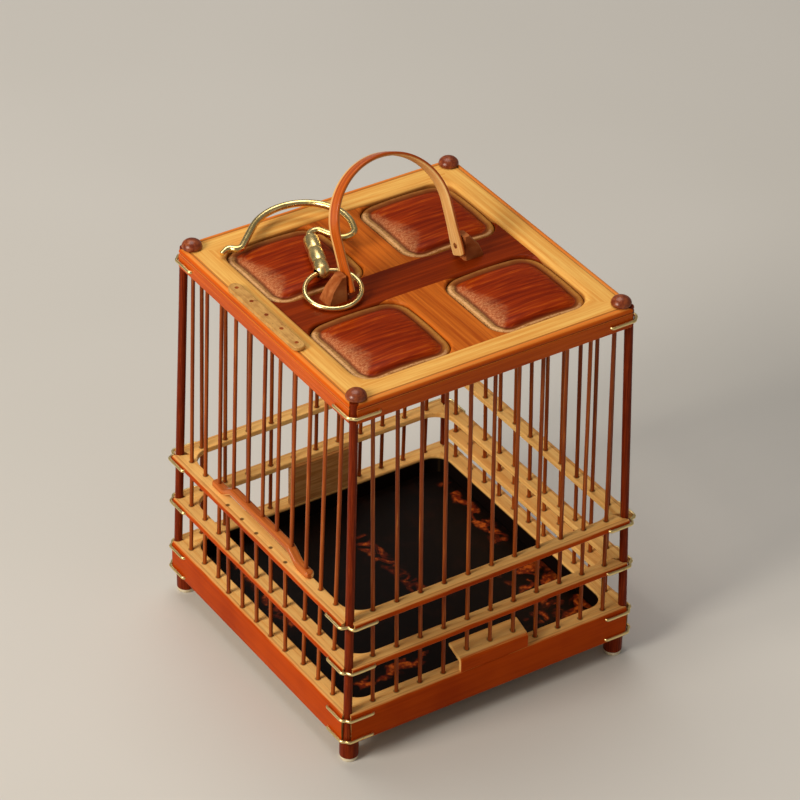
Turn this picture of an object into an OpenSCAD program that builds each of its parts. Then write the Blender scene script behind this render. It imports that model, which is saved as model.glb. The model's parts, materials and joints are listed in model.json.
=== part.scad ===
// Small square cricket cage of bamboo, with a lift door, a carved roof, a bail and a brass hook.
// Millimetres, +Z up. The origin is on the ground, under the middle of the four feet.
// The front looks along -Y and the door is in the left side, which looks along -X.

/* [Cage] */
// Outside width of the base, over its boards
base_w = 90.8; // [84:0.2:110]
// Outside width of the top frame
top_w = 86; // [82:0.2:104]
// Height of the base boards
base_h = 10; // [7:0.5:16]
// Clear height between the base and the lower rail
lower_gap = 13; // [9:0.5:20]
// Clear height between the lower and the upper rail
upper_gap = 12.8; // [8:0.2:20]
// Clear height between the upper rail and the top frame
window_h = 60.4; // [45:0.2:80]
// Width of the boards and rails, from outside to inside
rail_w = 5.2; // [4.6:0.1:7]
// Thickness of the two rails
rail_t = 1.7; // [1.4:0.1:3]
// How far the lower rail stands out of the leaning sides
lower_rail_out = 0.35; // [0:0.05:1]
// How far the upper rail stands out of the leaning sides
upper_rail_out = 1; // [0:0.05:1.4]

/* [Feet and floor] */
// Height of the feet, with their tips
foot_h = 6.5; // [4:0.5:12]
// Diameter of the feet
foot_d = 5.1; // [4:0.1:6.5]
// Height of the bone tip under each foot
tip_h = 1.1; // [0.6:0.1:2]
// Diameter of the bone tip under each foot
tip_d = 4.8; // [3.6:0.1:5]
// Distance of the feet from the outside of the base, to their middle
foot_inset = 3.2; // [2.8:0.1:5]
// Thickness of the floor panel
floor_t = 1.5; // [1:0.1:2.5]
// Depth of the floor below the rim of the base
floor_drop = 5.5; // [3:0.5:6]
// Width and height of the battens that carry the floor
batten = 2; // [1.2:0.1:2.4]

/* [Bars and posts] */
// Diameter of the bars
bar_d = 1.1; // [0.9:0.05:1.6]
// Distance of the outer bars from the ends of the top frame or base, whichever is narrower
bar_edge = 6.5; // [5.8:0.1:9]
// Distance of the bars from the outside of the base and of the top frame
bar_inset = 2.3; // [2:0.1:2.8]
// Distance of the middle front bar from the centre
front_offset = 1; // [-1.5:0.1:1.5]
// Distance of the middle bar on the door side from the centre
door_offset = 1.3; // [-1.5:0.1:1.5]
// Depth of the bars in the base
bar_base_depth = 5; // [3:0.5:6]
// Depth of the bars in the top frame
bar_frame_depth = 3.4; // [2:0.2:4.4]
// Diameter of the corner posts
post_d = 2.3; // [2:0.1:2.8]
// Distance of the posts from the outside of the base and of the top frame
post_inset = 1.6; // [1.5:0.1:2]
// Diameter of the beads on the corners of the top frame
bead_d = 5.2; // [4:0.1:6]
// Distance of the beads from the outside of the top frame
bead_inset = 3.1; // [2.8:0.1:4]

/* [Wires] */
// Diameter of the wire that binds the corners
wire_d = 0.9; // [0.6:0.05:1]
// Length of the wire on each side of a corner
wire_leg = 6; // [3:0.5:9]
// Depth of the wire ends in the wood
wire_depth = 1.6; // [1:0.1:2]
// Radius of the bend at each wire end
wire_bend = 0.6; // [0.55:0.05:0.8]

/* [Roof] */
// Height of the top frame
frame_h = 5.9; // [5:0.1:9]
// Width of the top frame on each side
frame_side = 8; // [6.5:0.1:9]
// Width of the rails that cross the roof
cross_w = 12; // [9:0.5:14]
// How far the cross rails lie below the top of the frame
cross_drop = 0.8; // [0.3:0.1:1.5]
// Corner radius of the recesses for the panels
recess_r = 6; // [4:0.5:8]
// Gap round the panels
panel_gap = 0.6; // [0.3:0.1:1.2]
// How far the middle of a panel stands above the top of the frame
panel_rise = 0.4; // [0:0.1:1]
// Radius of the swell on top of a panel
panel_swell = 75; // [60:1:120]
// Radius of the round shoulders of a panel
panel_shoulder = 2.6; // [1.5:0.1:3]
// Thickness of the board under the panels
roof_board_t = 1.6; // [1:0.1:2.4]
// Height of the frame's lip under the roof board
roof_lip = 0.9; // [0.5:0.1:2]
// Depth of the groove that holds the roof board
roof_groove = 1.1; // [0.6:0.1:2]
// Width and depth of the lines cut along the frame
mould_line = 0.5; // [0.3:0.1:0.8]
// Distance of the top line from the outside of the frame
mould_inset = 2.2; // [1.8:0.1:3]
// Distance of the side line from the top of the frame
mould_drop = 1.7; // [1.2:0.1:2.4]

/* [Door] */
// Height of the strip at the foot of the door
arch_t = 2; // [1.6:0.1:3]
// Width of that strip, from outside to inside
arch_w = 2.6; // [2.2:0.1:3]
// How far its middle is raised over its feet
arch_rise = 2.8; // [1.5:0.1:4]
// Length of each flat foot, beyond and before its guide bar together
arch_foot = 4.4; // [3.4:0.2:6]
// Length of the curve from a foot up to the middle
arch_slope = 6; // [4:0.5:7]
// Width of the strip on top of the door
handle_w = 3.6; // [2.6:0.1:4.4]
// Thickness of the strip on top of the door
handle_t = 1.3; // [1:0.1:2]
// How far that strip reaches past its outer bars
handle_end = 2.5; // [1.5:0.1:3.5]
// Distance of the short bars under the door from the outside of the rails and base
below_inset = 1.2; // [1.1:0.1:1.6]

/* [Feeding ledge] */
// Length of the ledge
ledge_l = 21.4; // [18:0.2:21.4]
// Thickness of the ledge
ledge_t = 1.2; // [0.8:0.1:1.6]
// Height of its front over the rim of the base
ledge_front = 3.7; // [2.5:0.1:5]
// Depth of the ledge, from front to back
ledge_depth = 5.8; // [4.5:0.1:7]
// How far the back is higher than the front
ledge_climb = 2.2; // [0.5:0.1:3]
// Length of the upright board on the back rim
board_l = 20.8; // [12:0.2:24]
// Clearance between that board and the bars outside it
board_gap = 0.25; // [0.1:0.05:0.4]
// Height of the right side's strip above the rim
side_strip_up = 7; // [4:0.1:9]
// How far that strip runs past the last bars
side_strip_past = 1.6; // [1:0.1:2.2]

/* [Bail] */
// Width of the bail between the middles of its legs
bail_span = 33.6; // [24:0.2:36]
// Length of the straight legs above the pivot
bail_leg = 11.8; // [6:0.2:20]
// Width of the strip
bail_w = 4.6; // [3.4:0.1:5]
// Width of the strip at its round ends
bail_end_w = 5.4; // [4.6:0.1:5.6]
// Thickness of the strip
bail_t = 1; // [0.8:0.1:1.4]
// Lean of the bail towards the back
bail_lean = 27; // [10:1:35]
// Height of the pivot over the cross rail
pivot_h = 4; // [3.8:0.1:5]
// Distance of the pivot behind the middle of the cage
pivot_y = 1.1; // [0:0.1:2]
// Height of the lugs
lug_h = 6.8; // [6:0.1:8]
// Length of a lug along the pivot
lug_l = 6; // [4:0.1:6.2]
// Width of a lug
lug_w = 5; // [4:0.1:5.4]
// Width of the flat on top of a lug
lug_top = 2.2; // [1.6:0.1:3]
// Gap between a leg and its lug
lug_gap = 0.5; // [0.3:0.05:0.8]
// Diameter of the pivot pins
pin_d = 1.4; // [1:0.1:1.8]
// Diameter of the heads of the pivot pins
pin_head_d = 2.6; // [2.2:0.1:3.2]
// Thickness of the heads of the pivot pins
pin_head_t = 0.6; // [0.4:0.1:1]
// Depth of the pins in their lugs
pin_depth = 3.2; // [2:0.1:3.6]

/* [Ring and swivel] */
// Diameter of the ring, to the middle of its wire
ring_d = 14.6; // [13.6:0.1:16]
// Diameter of the ring's wire
ring_wire = 1.4; // [1:0.1:1.6]
// Distance of the ring's middle to the left of the cage's middle
ring_left = 20; // [19.6:0.1:20.4]
// Distance of the ring's middle behind the cage's middle
ring_back = 2.6; // [2.2:0.1:3]
// Height of the ring's middle over the cross rail
ring_up = 1.85; // [1.7:0.05:3]
// Slope of the ring
ring_tilt = 9; // [0:0.5:9]
// Direction in which the ring slopes up, from the back towards the right
ring_turn = 33.5; // [20:0.5:45]
// Place of the swivel on the ring, as an angle round the ring
eye_at = 113.5; // [105:0.5:120]
// Diameter of the swivel barrel
barrel_d = 3.9; // [3.4:0.1:4]
// Diameter of the swivel barrel at its two necks
neck_d = 3; // [2.7:0.1:3.3]
// Length of each of the three swells of the barrel
swell_l = 5.5; // [4.8:0.1:6]
// Distance from the lower end of the barrel to its eye
eye_up = 1.8; // [1.7:0.1:2.2]
// Diameter of the eye
eye_d = 2.4; // [2.2:0.1:2.5]
// Direction of the barrel, from the back towards the right
barrel_turn = 19.5; // [12:0.5:24]
// Slope of the barrel
barrel_slope = 4; // [3:0.5:6]

/* [Hook] */
// Diameter of the hook's wire
hook_wire = 1.9; // [1.4:0.1:2]
// Slope of the hook, up to the right
hook_roll = 4.5; // [3:0.5:5]
// Diameter of the hook's stem in the barrel
stem_d = 1.7; // [1.2:0.1:1.8]
// Length of the stem in the barrel
stem_l = 5; // [3.5:0.1:6]
// Diameter of the button that keeps the stem in the barrel
button_d = 2.5; // [2.2:0.1:2.6]
// Length of that button
button_l = 1.4; // [1:0.1:2]
// Radius of the hook's main bow
bow_r = 13.5; // [10:0.1:14]
// Radius of the return bend beside the barrel
return_r = 3; // [2.4:0.1:3.2]
// Length of the straight run from the barrel to the return bend
return_l = 4.6; // [3.6:0.1:5]
// Radius of the bend where the wire leaves the barrel
stem_r = 2; // [1.6:0.1:2.4]
// Length of the straight tail between the main bow and the tip
tail_l = 8.6; // [6:0.1:10]
// Radius of the two small bends at the tip
flick_r = 1.6; // [1.4:0.1:2]
// Length of the straight end of the tip
flick_l = 1.4; // [0.8:0.1:2]

/* [Clearances] */
// Gap round a bar, post or wire in its hole
glue_gap = 0.05; // [0.03:0.01:0.1]
// Gap round the door bars where they slide
slide_gap = 0.1; // [0.06:0.01:0.1]
// Gap round pins and stems that turn
turn_gap = 0.06; // [0.03:0.01:0.1]
// Gap between parts that rest on each other and move apart
rest_gap = 0.05; // [0.02:0.01:0.2]

/* [Hidden] */
$fn = 48;

// Turns of the four sides, counted from the front
front_turn = 0;
right_turn = 90;
back_turn = 180;
left_turn = 270;

// Bars on a side, counted from its left end seen from outside
bar_count = 11;
middle_bar = (bar_count - 1) / 2;
bar_pitch = (min(base_w, top_w) - 2 * bar_edge) / (bar_count - 1);
all_bars = [0 : bar_count - 1];
fixed_door_bars = [0, 1, 2, 8, 9, 10];
lifted_bars = [3 : 7];
guide_bars = [2, 8];
ledge_bars = [4 : 6];

// Levels
base_z = foot_h;
rim_z = base_z + base_h;
lower_z = rim_z + lower_gap;
upper_z = lower_z + rail_t + upper_gap;
sill_z = upper_z + rail_t;
frame_z = sill_z + window_h;
top_z = frame_z + frame_h;
cross_z = top_z - cross_drop;
board_z = frame_z + roof_lip;
seat_z = board_z + roof_board_t;
floor_z = rim_z - floor_drop;

// The sides lean in from the foot of the base to the top of the frame
lean_run = (base_w - top_w) / 2;
lean = atan(lean_run / (top_z - base_z));
function lean_half(z, inset) = base_w / 2 - inset - (z - base_z) * tan(lean);
lower_half = lean_half(lower_z + rail_t / 2, -lower_rail_out);
upper_half = lean_half(upper_z + rail_t / 2, -upper_rail_out);

// Radii and gaps
bar_r = bar_d / 2;
post_r = post_d / 2;
wire_r = wire_d / 2;
wire_off = wire_r + rest_gap;
wire_lap = 0.1;
bend_thin = 0.02;
past = 1;

// Roof plan
inner_half = top_w / 2 - frame_side;
cross_half = cross_w / 2;
recess = inner_half - cross_half;
flare = cross_half + recess_r * 2 / 3;

// Door
door_x = -lean_half(sill_z + arch_t, bar_inset);
below_x = -(min(base_w / 2, lower_half, upper_half) - below_inset);
door_half = (guide_bars[1] - guide_bars[0]) / 2 * bar_pitch;
arch_half = door_half + arch_foot / 2;
arch_flat = door_half - arch_foot / 2 - arch_slope;
curve_steps = 8;
handle_l = 4 * bar_pitch + 2 * handle_end;

// Bail
pivot_z = cross_z + pivot_h;
leg_x = bail_span / 2;
lug_x = leg_x + bail_t / 2 + lug_gap;

// Ring and swivel
ring_at = [-ring_left, ring_back, cross_z + ring_up];
ring_r = ring_d / 2;
barrel_r = barrel_d / 2;
barrel_l = 3 * swell_l;
stem_from = barrel_l - eye_up;
function turn_x(p, a) = [p[0], p[1] * cos(a) - p[2] * sin(a), p[1] * sin(a) + p[2] * cos(a)];
function turn_z(p, a) = [p[0] * cos(a) - p[1] * sin(a), p[0] * sin(a) + p[1] * cos(a), p[2]];
eye_flat = [ring_r * cos(eye_at), ring_r * sin(eye_at), 0];
eye_pos = ring_at + turn_z(turn_x(eye_flat, ring_tilt), -ring_turn);

// Hook, as straight runs [length, 0] and bends [radius, angle to the left]
hook_r = hook_wire / 2;
stem_join = 0.5;
stem_rise = 0.9;
return_turn = 138;
bow_rise = 1.5;
bow_turn = 150;
flick_run = 0.4;
hook_steps = [
    [stem_rise, 0], [stem_r, -return_turn], [return_l, 0], [return_r, return_turn], [bow_rise, 0],
    [bow_r, bow_turn], [tail_l, 0], [flick_r, -95], [flick_run, 0], [flick_r, 80], [flick_l, 0]
];

// Colours
skin = "sienna";
flesh = "burlywood";
dark_wood = "maroon";
bar_wood = "saddlebrown";
brass = "goldenrod";
bone = "ivory";
lacquer = "black";

// Turns a front-side shape to another side
module on_side(side) {
    rotate([0, 0, side]) children();
}

// Puts a shape at the four corners
module at_corners() {
    for (side = [front_turn, right_turn, back_turn, left_turn]) on_side(side) children();
}

// Rod from height z0 to height z1 along the lean of the front side
module leaning_rod(x, z0, z1, r, inset) {
    translate([x, -lean_half(z0, inset), z0])
        rotate([-lean, 0, 0]) cylinder(r = r, h = (z1 - z0) / cos(lean));
}

// Post at the front right corner, leaning in to the left and to the back
module leaning_post(z0, z1, r) {
    half = lean_half(z0, post_inset);
    run = (z1 - z0) * tan(lean);
    slant = atan(run * sqrt(2) / (z1 - z0));
    translate([half, -half, z0])
        rotate([0, 0, 135]) rotate([0, slant, 0]) cylinder(r = r, h = (z1 - z0) / cos(slant));
}

// Place of a bar along its side
function bar_x(i, shift) = (i - middle_bar) * bar_pitch + shift;
function side_shift(side) = side == front_turn ? front_offset : (side == left_turn ? -door_offset : 0);
function side_bars(side) = side == left_turn ? fixed_door_bars : [for (i = all_bars) i];

// Plan of one strip of a square ring, cut at the corners for the posts
module strip_plan(half, width, post) {
    inner = half - width;
    cut = 2 * post - half;
    polygon([[-cut, -half], [cut, -half], [post, -post], [inner, -inner], [-inner, -inner], [-post, -post]]);
}

// One strip of a ring on the front side, with the notches for its posts
module strip(half, width, z, height) {
    post = lean_half(z + height / 2, post_inset);
    difference() {
        translate([0, 0, z]) linear_extrude(height) strip_plan(half, width, post);
        leaning_post(z - past, z + height + past, post_r + glue_gap);
        on_side(left_turn) leaning_post(z - past, z + height + past, post_r + glue_gap);
    }
}

// Holes for the bars of a side, turned to the front
module bar_holes(side, z0, z1) {
    for (i = side_bars(side))
        leaning_rod(bar_x(i, side_shift(side)), z0, z1, bar_r + glue_gap, bar_inset);
}

// Holes for the short bars under the door, turned to the front
module below_holes(z0, z1) {
    for (i = lifted_bars)
        translate([bar_x(i, -door_offset), below_x, z0]) cylinder(r = bar_r + glue_gap, h = z1 - z0);
}

// Holes for the ends of the corner wires in a front strip
module wire_holes(half, z) {
    post = lean_half(z, post_inset);
    for (x = [-1, 1])
        translate([x * (post - wire_leg - wire_bend), -half - past, z]) rotate([-90, 0, 0])
            cylinder(r = wire_r + glue_gap, h = past + wire_depth + glue_gap);
}

// Heights of the wires on each ring
wire_margin = 1.6;
upper_wire_z = upper_z + rail_t / 2;
lower_wire_z = lower_z + rail_t / 2;
base_upper_wire_z = rim_z - wire_margin;
base_lower_wire_z = base_z + wire_margin;
frame_wire_z = frame_z + frame_h / 2 - wire_margin / 2;

module base_board(side) {
    half = base_w / 2;
    color(skin) on_side(side) difference() {
        strip(half, rail_w, base_z, base_h);
        bar_holes(side, rim_z - bar_base_depth, rim_z + past);
        if (side == left_turn) below_holes(rim_z - bar_base_depth, rim_z + past);
        wire_holes(half, base_upper_wire_z);
        wire_holes(half, base_lower_wire_z);
    }
}

module lower_rail(side) {
    color(flesh) on_side(side) difference() {
        strip(lower_half, rail_w, lower_z, rail_t);
        bar_holes(side, lower_z - past, lower_z + rail_t + past);
        if (side == left_turn) below_holes(lower_z - past, lower_z + rail_t + past);
        wire_holes(lower_half, lower_wire_z);
    }
}

module upper_rail(side) {
    color(flesh) on_side(side) difference() {
        strip(upper_half, rail_w, upper_z, rail_t);
        bar_holes(side, upper_z - past, sill_z + past);
        if (side == left_turn) below_holes(upper_z - past, sill_z + past);
        wire_holes(upper_half, upper_wire_z);
    }
}

// Block with round upright corners, from corner a to corner b in plan
module round_block(a, b, z0, z1, r) {
    h = z1 - z0;
    translate([a[0] + r, a[1], z0]) cube([b[0] - a[0] - 2 * r, b[1] - a[1], h]);
    translate([a[0], a[1] + r, z0]) cube([b[0] - a[0], b[1] - a[1] - 2 * r, h]);
    for (x = [a[0] + r, b[0] - r], y = [a[1] + r, b[1] - r])
        translate([x, y, z0]) cylinder(r = r, h = h);
}

// The four recesses of the roof
module recesses() {
    for (side = [front_turn, right_turn, back_turn, left_turn]) on_side(side)
        round_block([cross_half, -inner_half], [inner_half, -cross_half], seat_z, top_z + past, recess_r);
}

module top_frame(side) {
    half = top_w / 2;
    corner = inner_half - recess_r;
    color(flesh) on_side(side) difference() {
        union() {
            strip(half, frame_side, frame_z, frame_h);
            translate([0, 0, seat_z]) linear_extrude(top_z - seat_z) {
                polygon([[corner, -inner_half], [inner_half, -inner_half], [corner, -corner]]);
                polygon([[-corner, -inner_half], [-inner_half, -inner_half], [-corner, -corner]]);
            }
        }
        recesses();
        translate([-half, -inner_half - roof_groove, board_z - glue_gap])
            cube([2 * half, frame_side, roof_board_t + glue_gap]);
        bar_holes(side, frame_z - past, frame_z + bar_frame_depth);
        if (side == left_turn)
            for (i = lifted_bars)
                leaning_rod(bar_x(i, -door_offset), frame_z - past, top_z + past, bar_r + slide_gap, bar_inset);
        wire_holes(half, frame_wire_z);
        translate([-half, mould_inset - half, top_z - mould_line])
            cube([2 * half, mould_line, mould_line + past]);
        translate([-half, -half - past, top_z - mould_drop])
            cube([2 * half, mould_line + past, mould_line]);
    }
}

module roof_board() {
    half = inner_half + roof_groove - glue_gap;
    color(dark_wood) translate([-half, -half, board_z]) cube([2 * half, 2 * half, roof_board_t]);
}

module cross_rail_long() {
    h = cross_z - seat_z;
    color(skin) difference() {
        translate([0, 0, seat_z]) {
            translate([-inner_half, -cross_half, 0]) cube([2 * inner_half, cross_w, h]);
            translate([-flare, -flare, 0]) cube([2 * flare, 2 * flare, h]);
            for (x = [-inner_half, inner_half - recess_r])
                translate([x, -flare, 0]) cube([recess_r, 2 * flare, h]);
        }
        recesses();
        for (y = [-flare - past, cross_half])
            translate([-cross_half, y, seat_z - past]) cube([cross_w, flare - cross_half + past, h + 2 * past]);
    }
}

module cross_rail_short(side) {
    h = cross_z - seat_z;
    color(skin) on_side(side) difference() {
        translate([0, 0, seat_z]) {
            translate([-cross_half, -inner_half, 0]) cube([cross_w, recess, h]);
            translate([-flare, -inner_half, 0]) cube([2 * flare, recess_r, h]);
        }
        recesses();
    }
}

// Cross-section of a panel: flat below, with round shoulders
module panel_section(width, height) {
    r = panel_shoulder;
    translate([-width / 2, 0]) square([width, height - r]);
    translate([r - width / 2, 0]) square([width - 2 * r, height]);
    for (x = [r - width / 2, width / 2 - r]) translate([x, height - r]) circle(r);
}

module roof_panel(side) {
    lo = cross_half + panel_gap;
    hi = inner_half - panel_gap;
    mid = (lo + hi) / 2;
    width = hi - lo;
    height = top_z + panel_rise - seat_z;
    color(dark_wood) on_side(side) translate([mid, -mid, seat_z]) intersection() {
        round_block([-width / 2, -width / 2], [width / 2, width / 2], 0, height, recess_r - panel_gap);
        translate([0, width / 2, 0]) rotate([90, 0, 0]) linear_extrude(width) panel_section(width, height);
        translate([-width / 2, 0, 0]) rotate([90, 0, 90]) linear_extrude(width) panel_section(width, height);
        translate([0, 0, height - panel_swell]) sphere(panel_swell, $fn = 96);
    }
}

module corner_posts() {
    color(dark_wood) at_corners() leaning_post(base_z, top_z - rest_gap, post_r);
}

module corner_beads() {
    at = top_w / 2 - bead_inset;
    color(dark_wood) at_corners() translate([at, -at, top_z]) intersection() {
        sphere(d = bead_d);
        translate([-bead_d, -bead_d, 0]) cube([2 * bead_d, 2 * bead_d, bead_d]);
    }
}

module bars(side) {
    color(bar_wood) on_side(side)
        for (i = side_bars(side))
            leaning_rod(bar_x(i, side_shift(side)), rim_z - bar_base_depth + glue_gap,
                frame_z + bar_frame_depth - glue_gap, bar_r, bar_inset);
}

module bars_below_door() {
    bottom = rim_z - bar_base_depth + glue_gap;
    color(bar_wood) on_side(left_turn)
        for (i = lifted_bars)
            translate([bar_x(i, -door_offset), below_x, bottom]) cylinder(r = bar_r, h = sill_z - bottom);
}

// Wire of straight runs [length, 0] and bends [radius, angle to the left], along +X from the origin
// Each run laps over the bend beside it, which is a little thinner, so that the two make one solid
module wire_run(steps, r, i = 0) {
    if (i < len(steps)) {
        size = steps[i][0];
        angle = steps[i][1];
        if (angle == 0) {
            start = i > 0 ? wire_lap : 0;
            end = i < len(steps) - 1 ? wire_lap : 0;
            translate([-start, 0, 0]) rotate([0, 90, 0]) cylinder(r = r, h = size + start + end);
            translate([size, 0, 0]) wire_run(steps, r, i + 1);
        } else {
            turn = sign(angle);
            translate([0, turn * size, 0]) rotate([0, 0, turn > 0 ? -90 : 90 + angle])
                rotate_extrude(angle = abs(angle)) translate([size, 0]) circle(r - bend_thin);
            translate([size * sin(abs(angle)), turn * size * (1 - cos(angle)), 0])
                rotate([0, 0, angle]) wire_run(steps, r, i + 1);
        }
    }
}

// Wires round the four corners of one ring
module corner_wires(half, z) {
    post = lean_half(z, post_inset);
    corner_r = half - post + wire_off;
    stub = wire_depth + wire_off - wire_bend;
    steps = [[stub, 0], [wire_bend, 90], [wire_leg, 0], [corner_r, 90], [wire_leg, 0], [wire_bend, 90], [stub, 0]];
    color(brass) at_corners()
        translate([post - wire_leg - wire_bend, wire_depth - half, z]) rotate([0, 0, -90]) wire_run(steps, wire_r);
}

module top_frame_wires() {
    corner_wires(top_w / 2, frame_wire_z);
}

module upper_rail_wires() {
    corner_wires(upper_half, upper_wire_z);
}

module lower_rail_wires() {
    corner_wires(lower_half, lower_wire_z);
}

module base_upper_wires() {
    corner_wires(base_w / 2, base_upper_wire_z);
}

module base_lower_wires() {
    corner_wires(base_w / 2, base_lower_wire_z);
}

module feet() {
    at = base_w / 2 - foot_inset;
    color(dark_wood) at_corners() translate([at, -at, tip_h]) cylinder(d = foot_d, h = foot_h - tip_h);
}

module foot_tips() {
    at = base_w / 2 - foot_inset;
    color(bone) at_corners() translate([at, -at, 0]) cylinder(d = tip_d, h = tip_h);
}

module floor_panel() {
    half = base_w / 2 - rail_w - glue_gap;
    color(lacquer) translate([-half, -half, floor_z - floor_t]) cube([2 * half, 2 * half, floor_t]);
}

module floor_battens() {
    inner = base_w / 2 - rail_w;
    color(flesh)
        for (side = [right_turn, left_turn]) on_side(side)
            translate([-inner, -inner, floor_z - floor_t - batten]) cube([2 * inner, batten, batten]);
}

module feeding_ledge() {
    out = -base_w / 2;
    in = out + ledge_depth;
    top = rim_z + ledge_front;
    slope = ledge_climb / ledge_depth;
    color(flesh) difference() {
        translate([front_offset - ledge_l / 2, 0, 0]) rotate([90, 0, 90]) linear_extrude(ledge_l)
            polygon([
                [out, rim_z], [out, top], [in, top + ledge_climb], [in, top + ledge_climb - ledge_t],
                [out + ledge_t, top + ledge_t * (slope - 1)], [out + ledge_t, rim_z]
            ]);
        for (i = ledge_bars)
            leaning_rod(bar_x(i, front_offset), rim_z, top + ledge_climb + past, bar_r + glue_gap, bar_inset);
    }
}

// Upright board between the back rim and the lower rail, inside the bars and opposite the ledge
module feeding_board() {
    inner = base_w / 2 - rail_w;
    outer = lean_half(lower_z, bar_inset + bar_r + board_gap);
    color(flesh) on_side(back_turn) translate([-front_offset - board_l / 2, -outer, rim_z])
        cube([board_l, outer - inner, lower_gap - glue_gap]);
}

// Flat strip on the bars of the right side, between the rim and the lower rail
module side_strip() {
    z = rim_z + side_strip_up;
    inner = base_w / 2 - rail_w;
    end = max([for (i = side_bars(right_turn)) bar_x(i, side_shift(right_turn))]) + side_strip_past;
    color(flesh) on_side(right_turn) difference() {
        translate([-end, -lower_half, z]) cube([2 * end, lower_half - inner, rail_t]);
        bar_holes(right_turn, z - past, z + rail_t + past);
    }
}

module bail_lugs() {
    color(dark_wood)
        for (end = [0, 180]) translate([0, pivot_y, cross_z]) rotate([0, 0, end]) difference() {
            intersection() {
                translate([0, lug_w / 2, 0]) rotate([90, 0, 0]) linear_extrude(lug_w)
                    polygon([[lug_x, 0], [lug_x + lug_l, 0], [lug_x + lug_top, lug_h], [lug_x, lug_h]]);
                translate([lug_x, 0, 0]) rotate([90, 0, 90]) linear_extrude(lug_l)
                    polygon([[-lug_w / 2, 0], [lug_w / 2, 0], [lug_top / 2, lug_h], [-lug_top / 2, lug_h]]);
            }
            translate([lug_x - past, 0, pivot_h]) rotate([0, 90, 0])
                cylinder(d = pin_d + 2 * glue_gap, h = past + pin_depth + glue_gap);
        }
}

module bail_pins() {
    head_x = leg_x - bail_t / 2 - rest_gap;
    color(brass)
        for (end = [0, 180]) translate([0, pivot_y, pivot_z]) rotate([0, 0, end]) rotate([0, 90, 0]) {
            translate([0, 0, head_x]) cylinder(d = pin_d, h = lug_x + pin_depth - head_x);
            translate([0, 0, head_x - pin_head_t]) cylinder(d = pin_head_d, h = pin_head_t);
        }
}

// Height of the underside of the door's foot strip at a place along it
function ease(t) = (1 - cos(180 * min(1, max(0, t)))) / 2;
function arch_z(y) = arch_rise * ease((door_half - arch_foot / 2 - abs(y)) / arch_slope);
arch_bend = [for (i = [0 : curve_steps]) arch_flat + arch_slope * i / curve_steps];
arch_right = concat(arch_bend, [arch_half]);
arch_ys = concat([for (i = [len(arch_right) - 1 : -1 : 0]) -arch_right[i]], arch_right);

module door_arch() {
    last = len(arch_ys) - 1;
    under = [for (i = [0 : last]) [arch_ys[i], arch_z(arch_ys[i])]];
    over = [for (i = [last : -1 : 0]) [arch_ys[i], arch_z(arch_ys[i]) + arch_t]];
    color(skin) on_side(left_turn) difference() {
        translate([-door_offset, door_x + arch_w / 2, sill_z + rest_gap])
            rotate([90, 0, 0]) linear_extrude(arch_w) polygon(concat(under, over));
        for (i = guide_bars)
            leaning_rod(bar_x(i, -door_offset), sill_z - past, sill_z + arch_t + past, bar_r + slide_gap, bar_inset);
        for (i = lifted_bars)
            leaning_rod(bar_x(i, -door_offset), sill_z, sill_z + arch_rise + arch_t + past, bar_r + glue_gap, bar_inset);
    }
}

module door_bars() {
    bottom = sill_z + rest_gap + arch_rise;
    color(bar_wood) on_side(left_turn)
        for (i = lifted_bars)
            leaning_rod(bar_x(i, -door_offset), bottom, top_z + handle_t, bar_r, bar_inset);
}

module door_handle_strip() {
    y = -lean_half(top_z, bar_inset);
    end = handle_l / 2 - handle_w / 2;
    color(flesh) on_side(left_turn) difference() {
        translate([-door_offset, y, top_z + rest_gap]) {
            translate([-end, -handle_w / 2, 0]) cube([2 * end, handle_w, handle_t - rest_gap]);
            for (x = [-end, end]) translate([x, 0, 0]) cylinder(d = handle_w, h = handle_t - rest_gap);
        }
        for (i = lifted_bars)
            leaning_rod(bar_x(i, -door_offset), top_z - past, top_z + handle_t + past, bar_r + glue_gap, bar_inset);
    }
}

module bail() {
    end_z = bail_leg / 2;
    color(skin) translate([0, pivot_y, pivot_z]) rotate([-bail_lean, 0, 0]) difference() {
        union() {
            translate([0, 0, bail_leg]) rotate([90, 0, 0]) rotate_extrude(angle = 180)
                translate([leg_x - bail_t / 2, -bail_w / 2]) square([bail_t, bail_w]);
            for (x = [-leg_x, leg_x]) translate([x - bail_t / 2, 0, 0]) {
                rotate([0, 90, 0]) cylinder(d = bail_end_w, h = bail_t);
                rotate([90, 0, 90]) linear_extrude(bail_t)
                    polygon([
                        [-bail_end_w / 2, 0], [bail_end_w / 2, 0], [bail_w / 2, end_z],
                        [bail_w / 2, bail_leg], [-bail_w / 2, bail_leg], [-bail_w / 2, end_z]
                    ]);
            }
        }
        translate([-leg_x - past, 0, 0]) rotate([0, 90, 0])
            cylinder(d = pin_d + 2 * turn_gap, h = bail_span + 2 * past);
    }
}

module hook_ring() {
    color(brass) translate(ring_at) rotate([0, 0, -ring_turn]) rotate([ring_tilt, 0, 0])
        rotate_extrude() translate([ring_r, 0]) circle(d = ring_wire);
}

// Puts a shape that lies along +Y from the eye of the swivel in its place
module on_swivel() {
    translate(eye_pos) rotate([0, 0, -barrel_turn]) rotate([barrel_slope, 0, 0]) children();
}

// Half profile of the barrel: three round swells between necks
module barrel_half() {
    swell_h = (barrel_d - neck_d) / 2;
    swell_r = (swell_l * swell_l / 4 + swell_h * swell_h) / (2 * swell_h);
    for (i = [0 : 2])
        intersection() {
            translate([0, i * swell_l]) square([barrel_r, swell_l]);
            translate([barrel_r - swell_r, (i + 0.5) * swell_l]) circle(swell_r, $fn = 96);
        }
}

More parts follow.
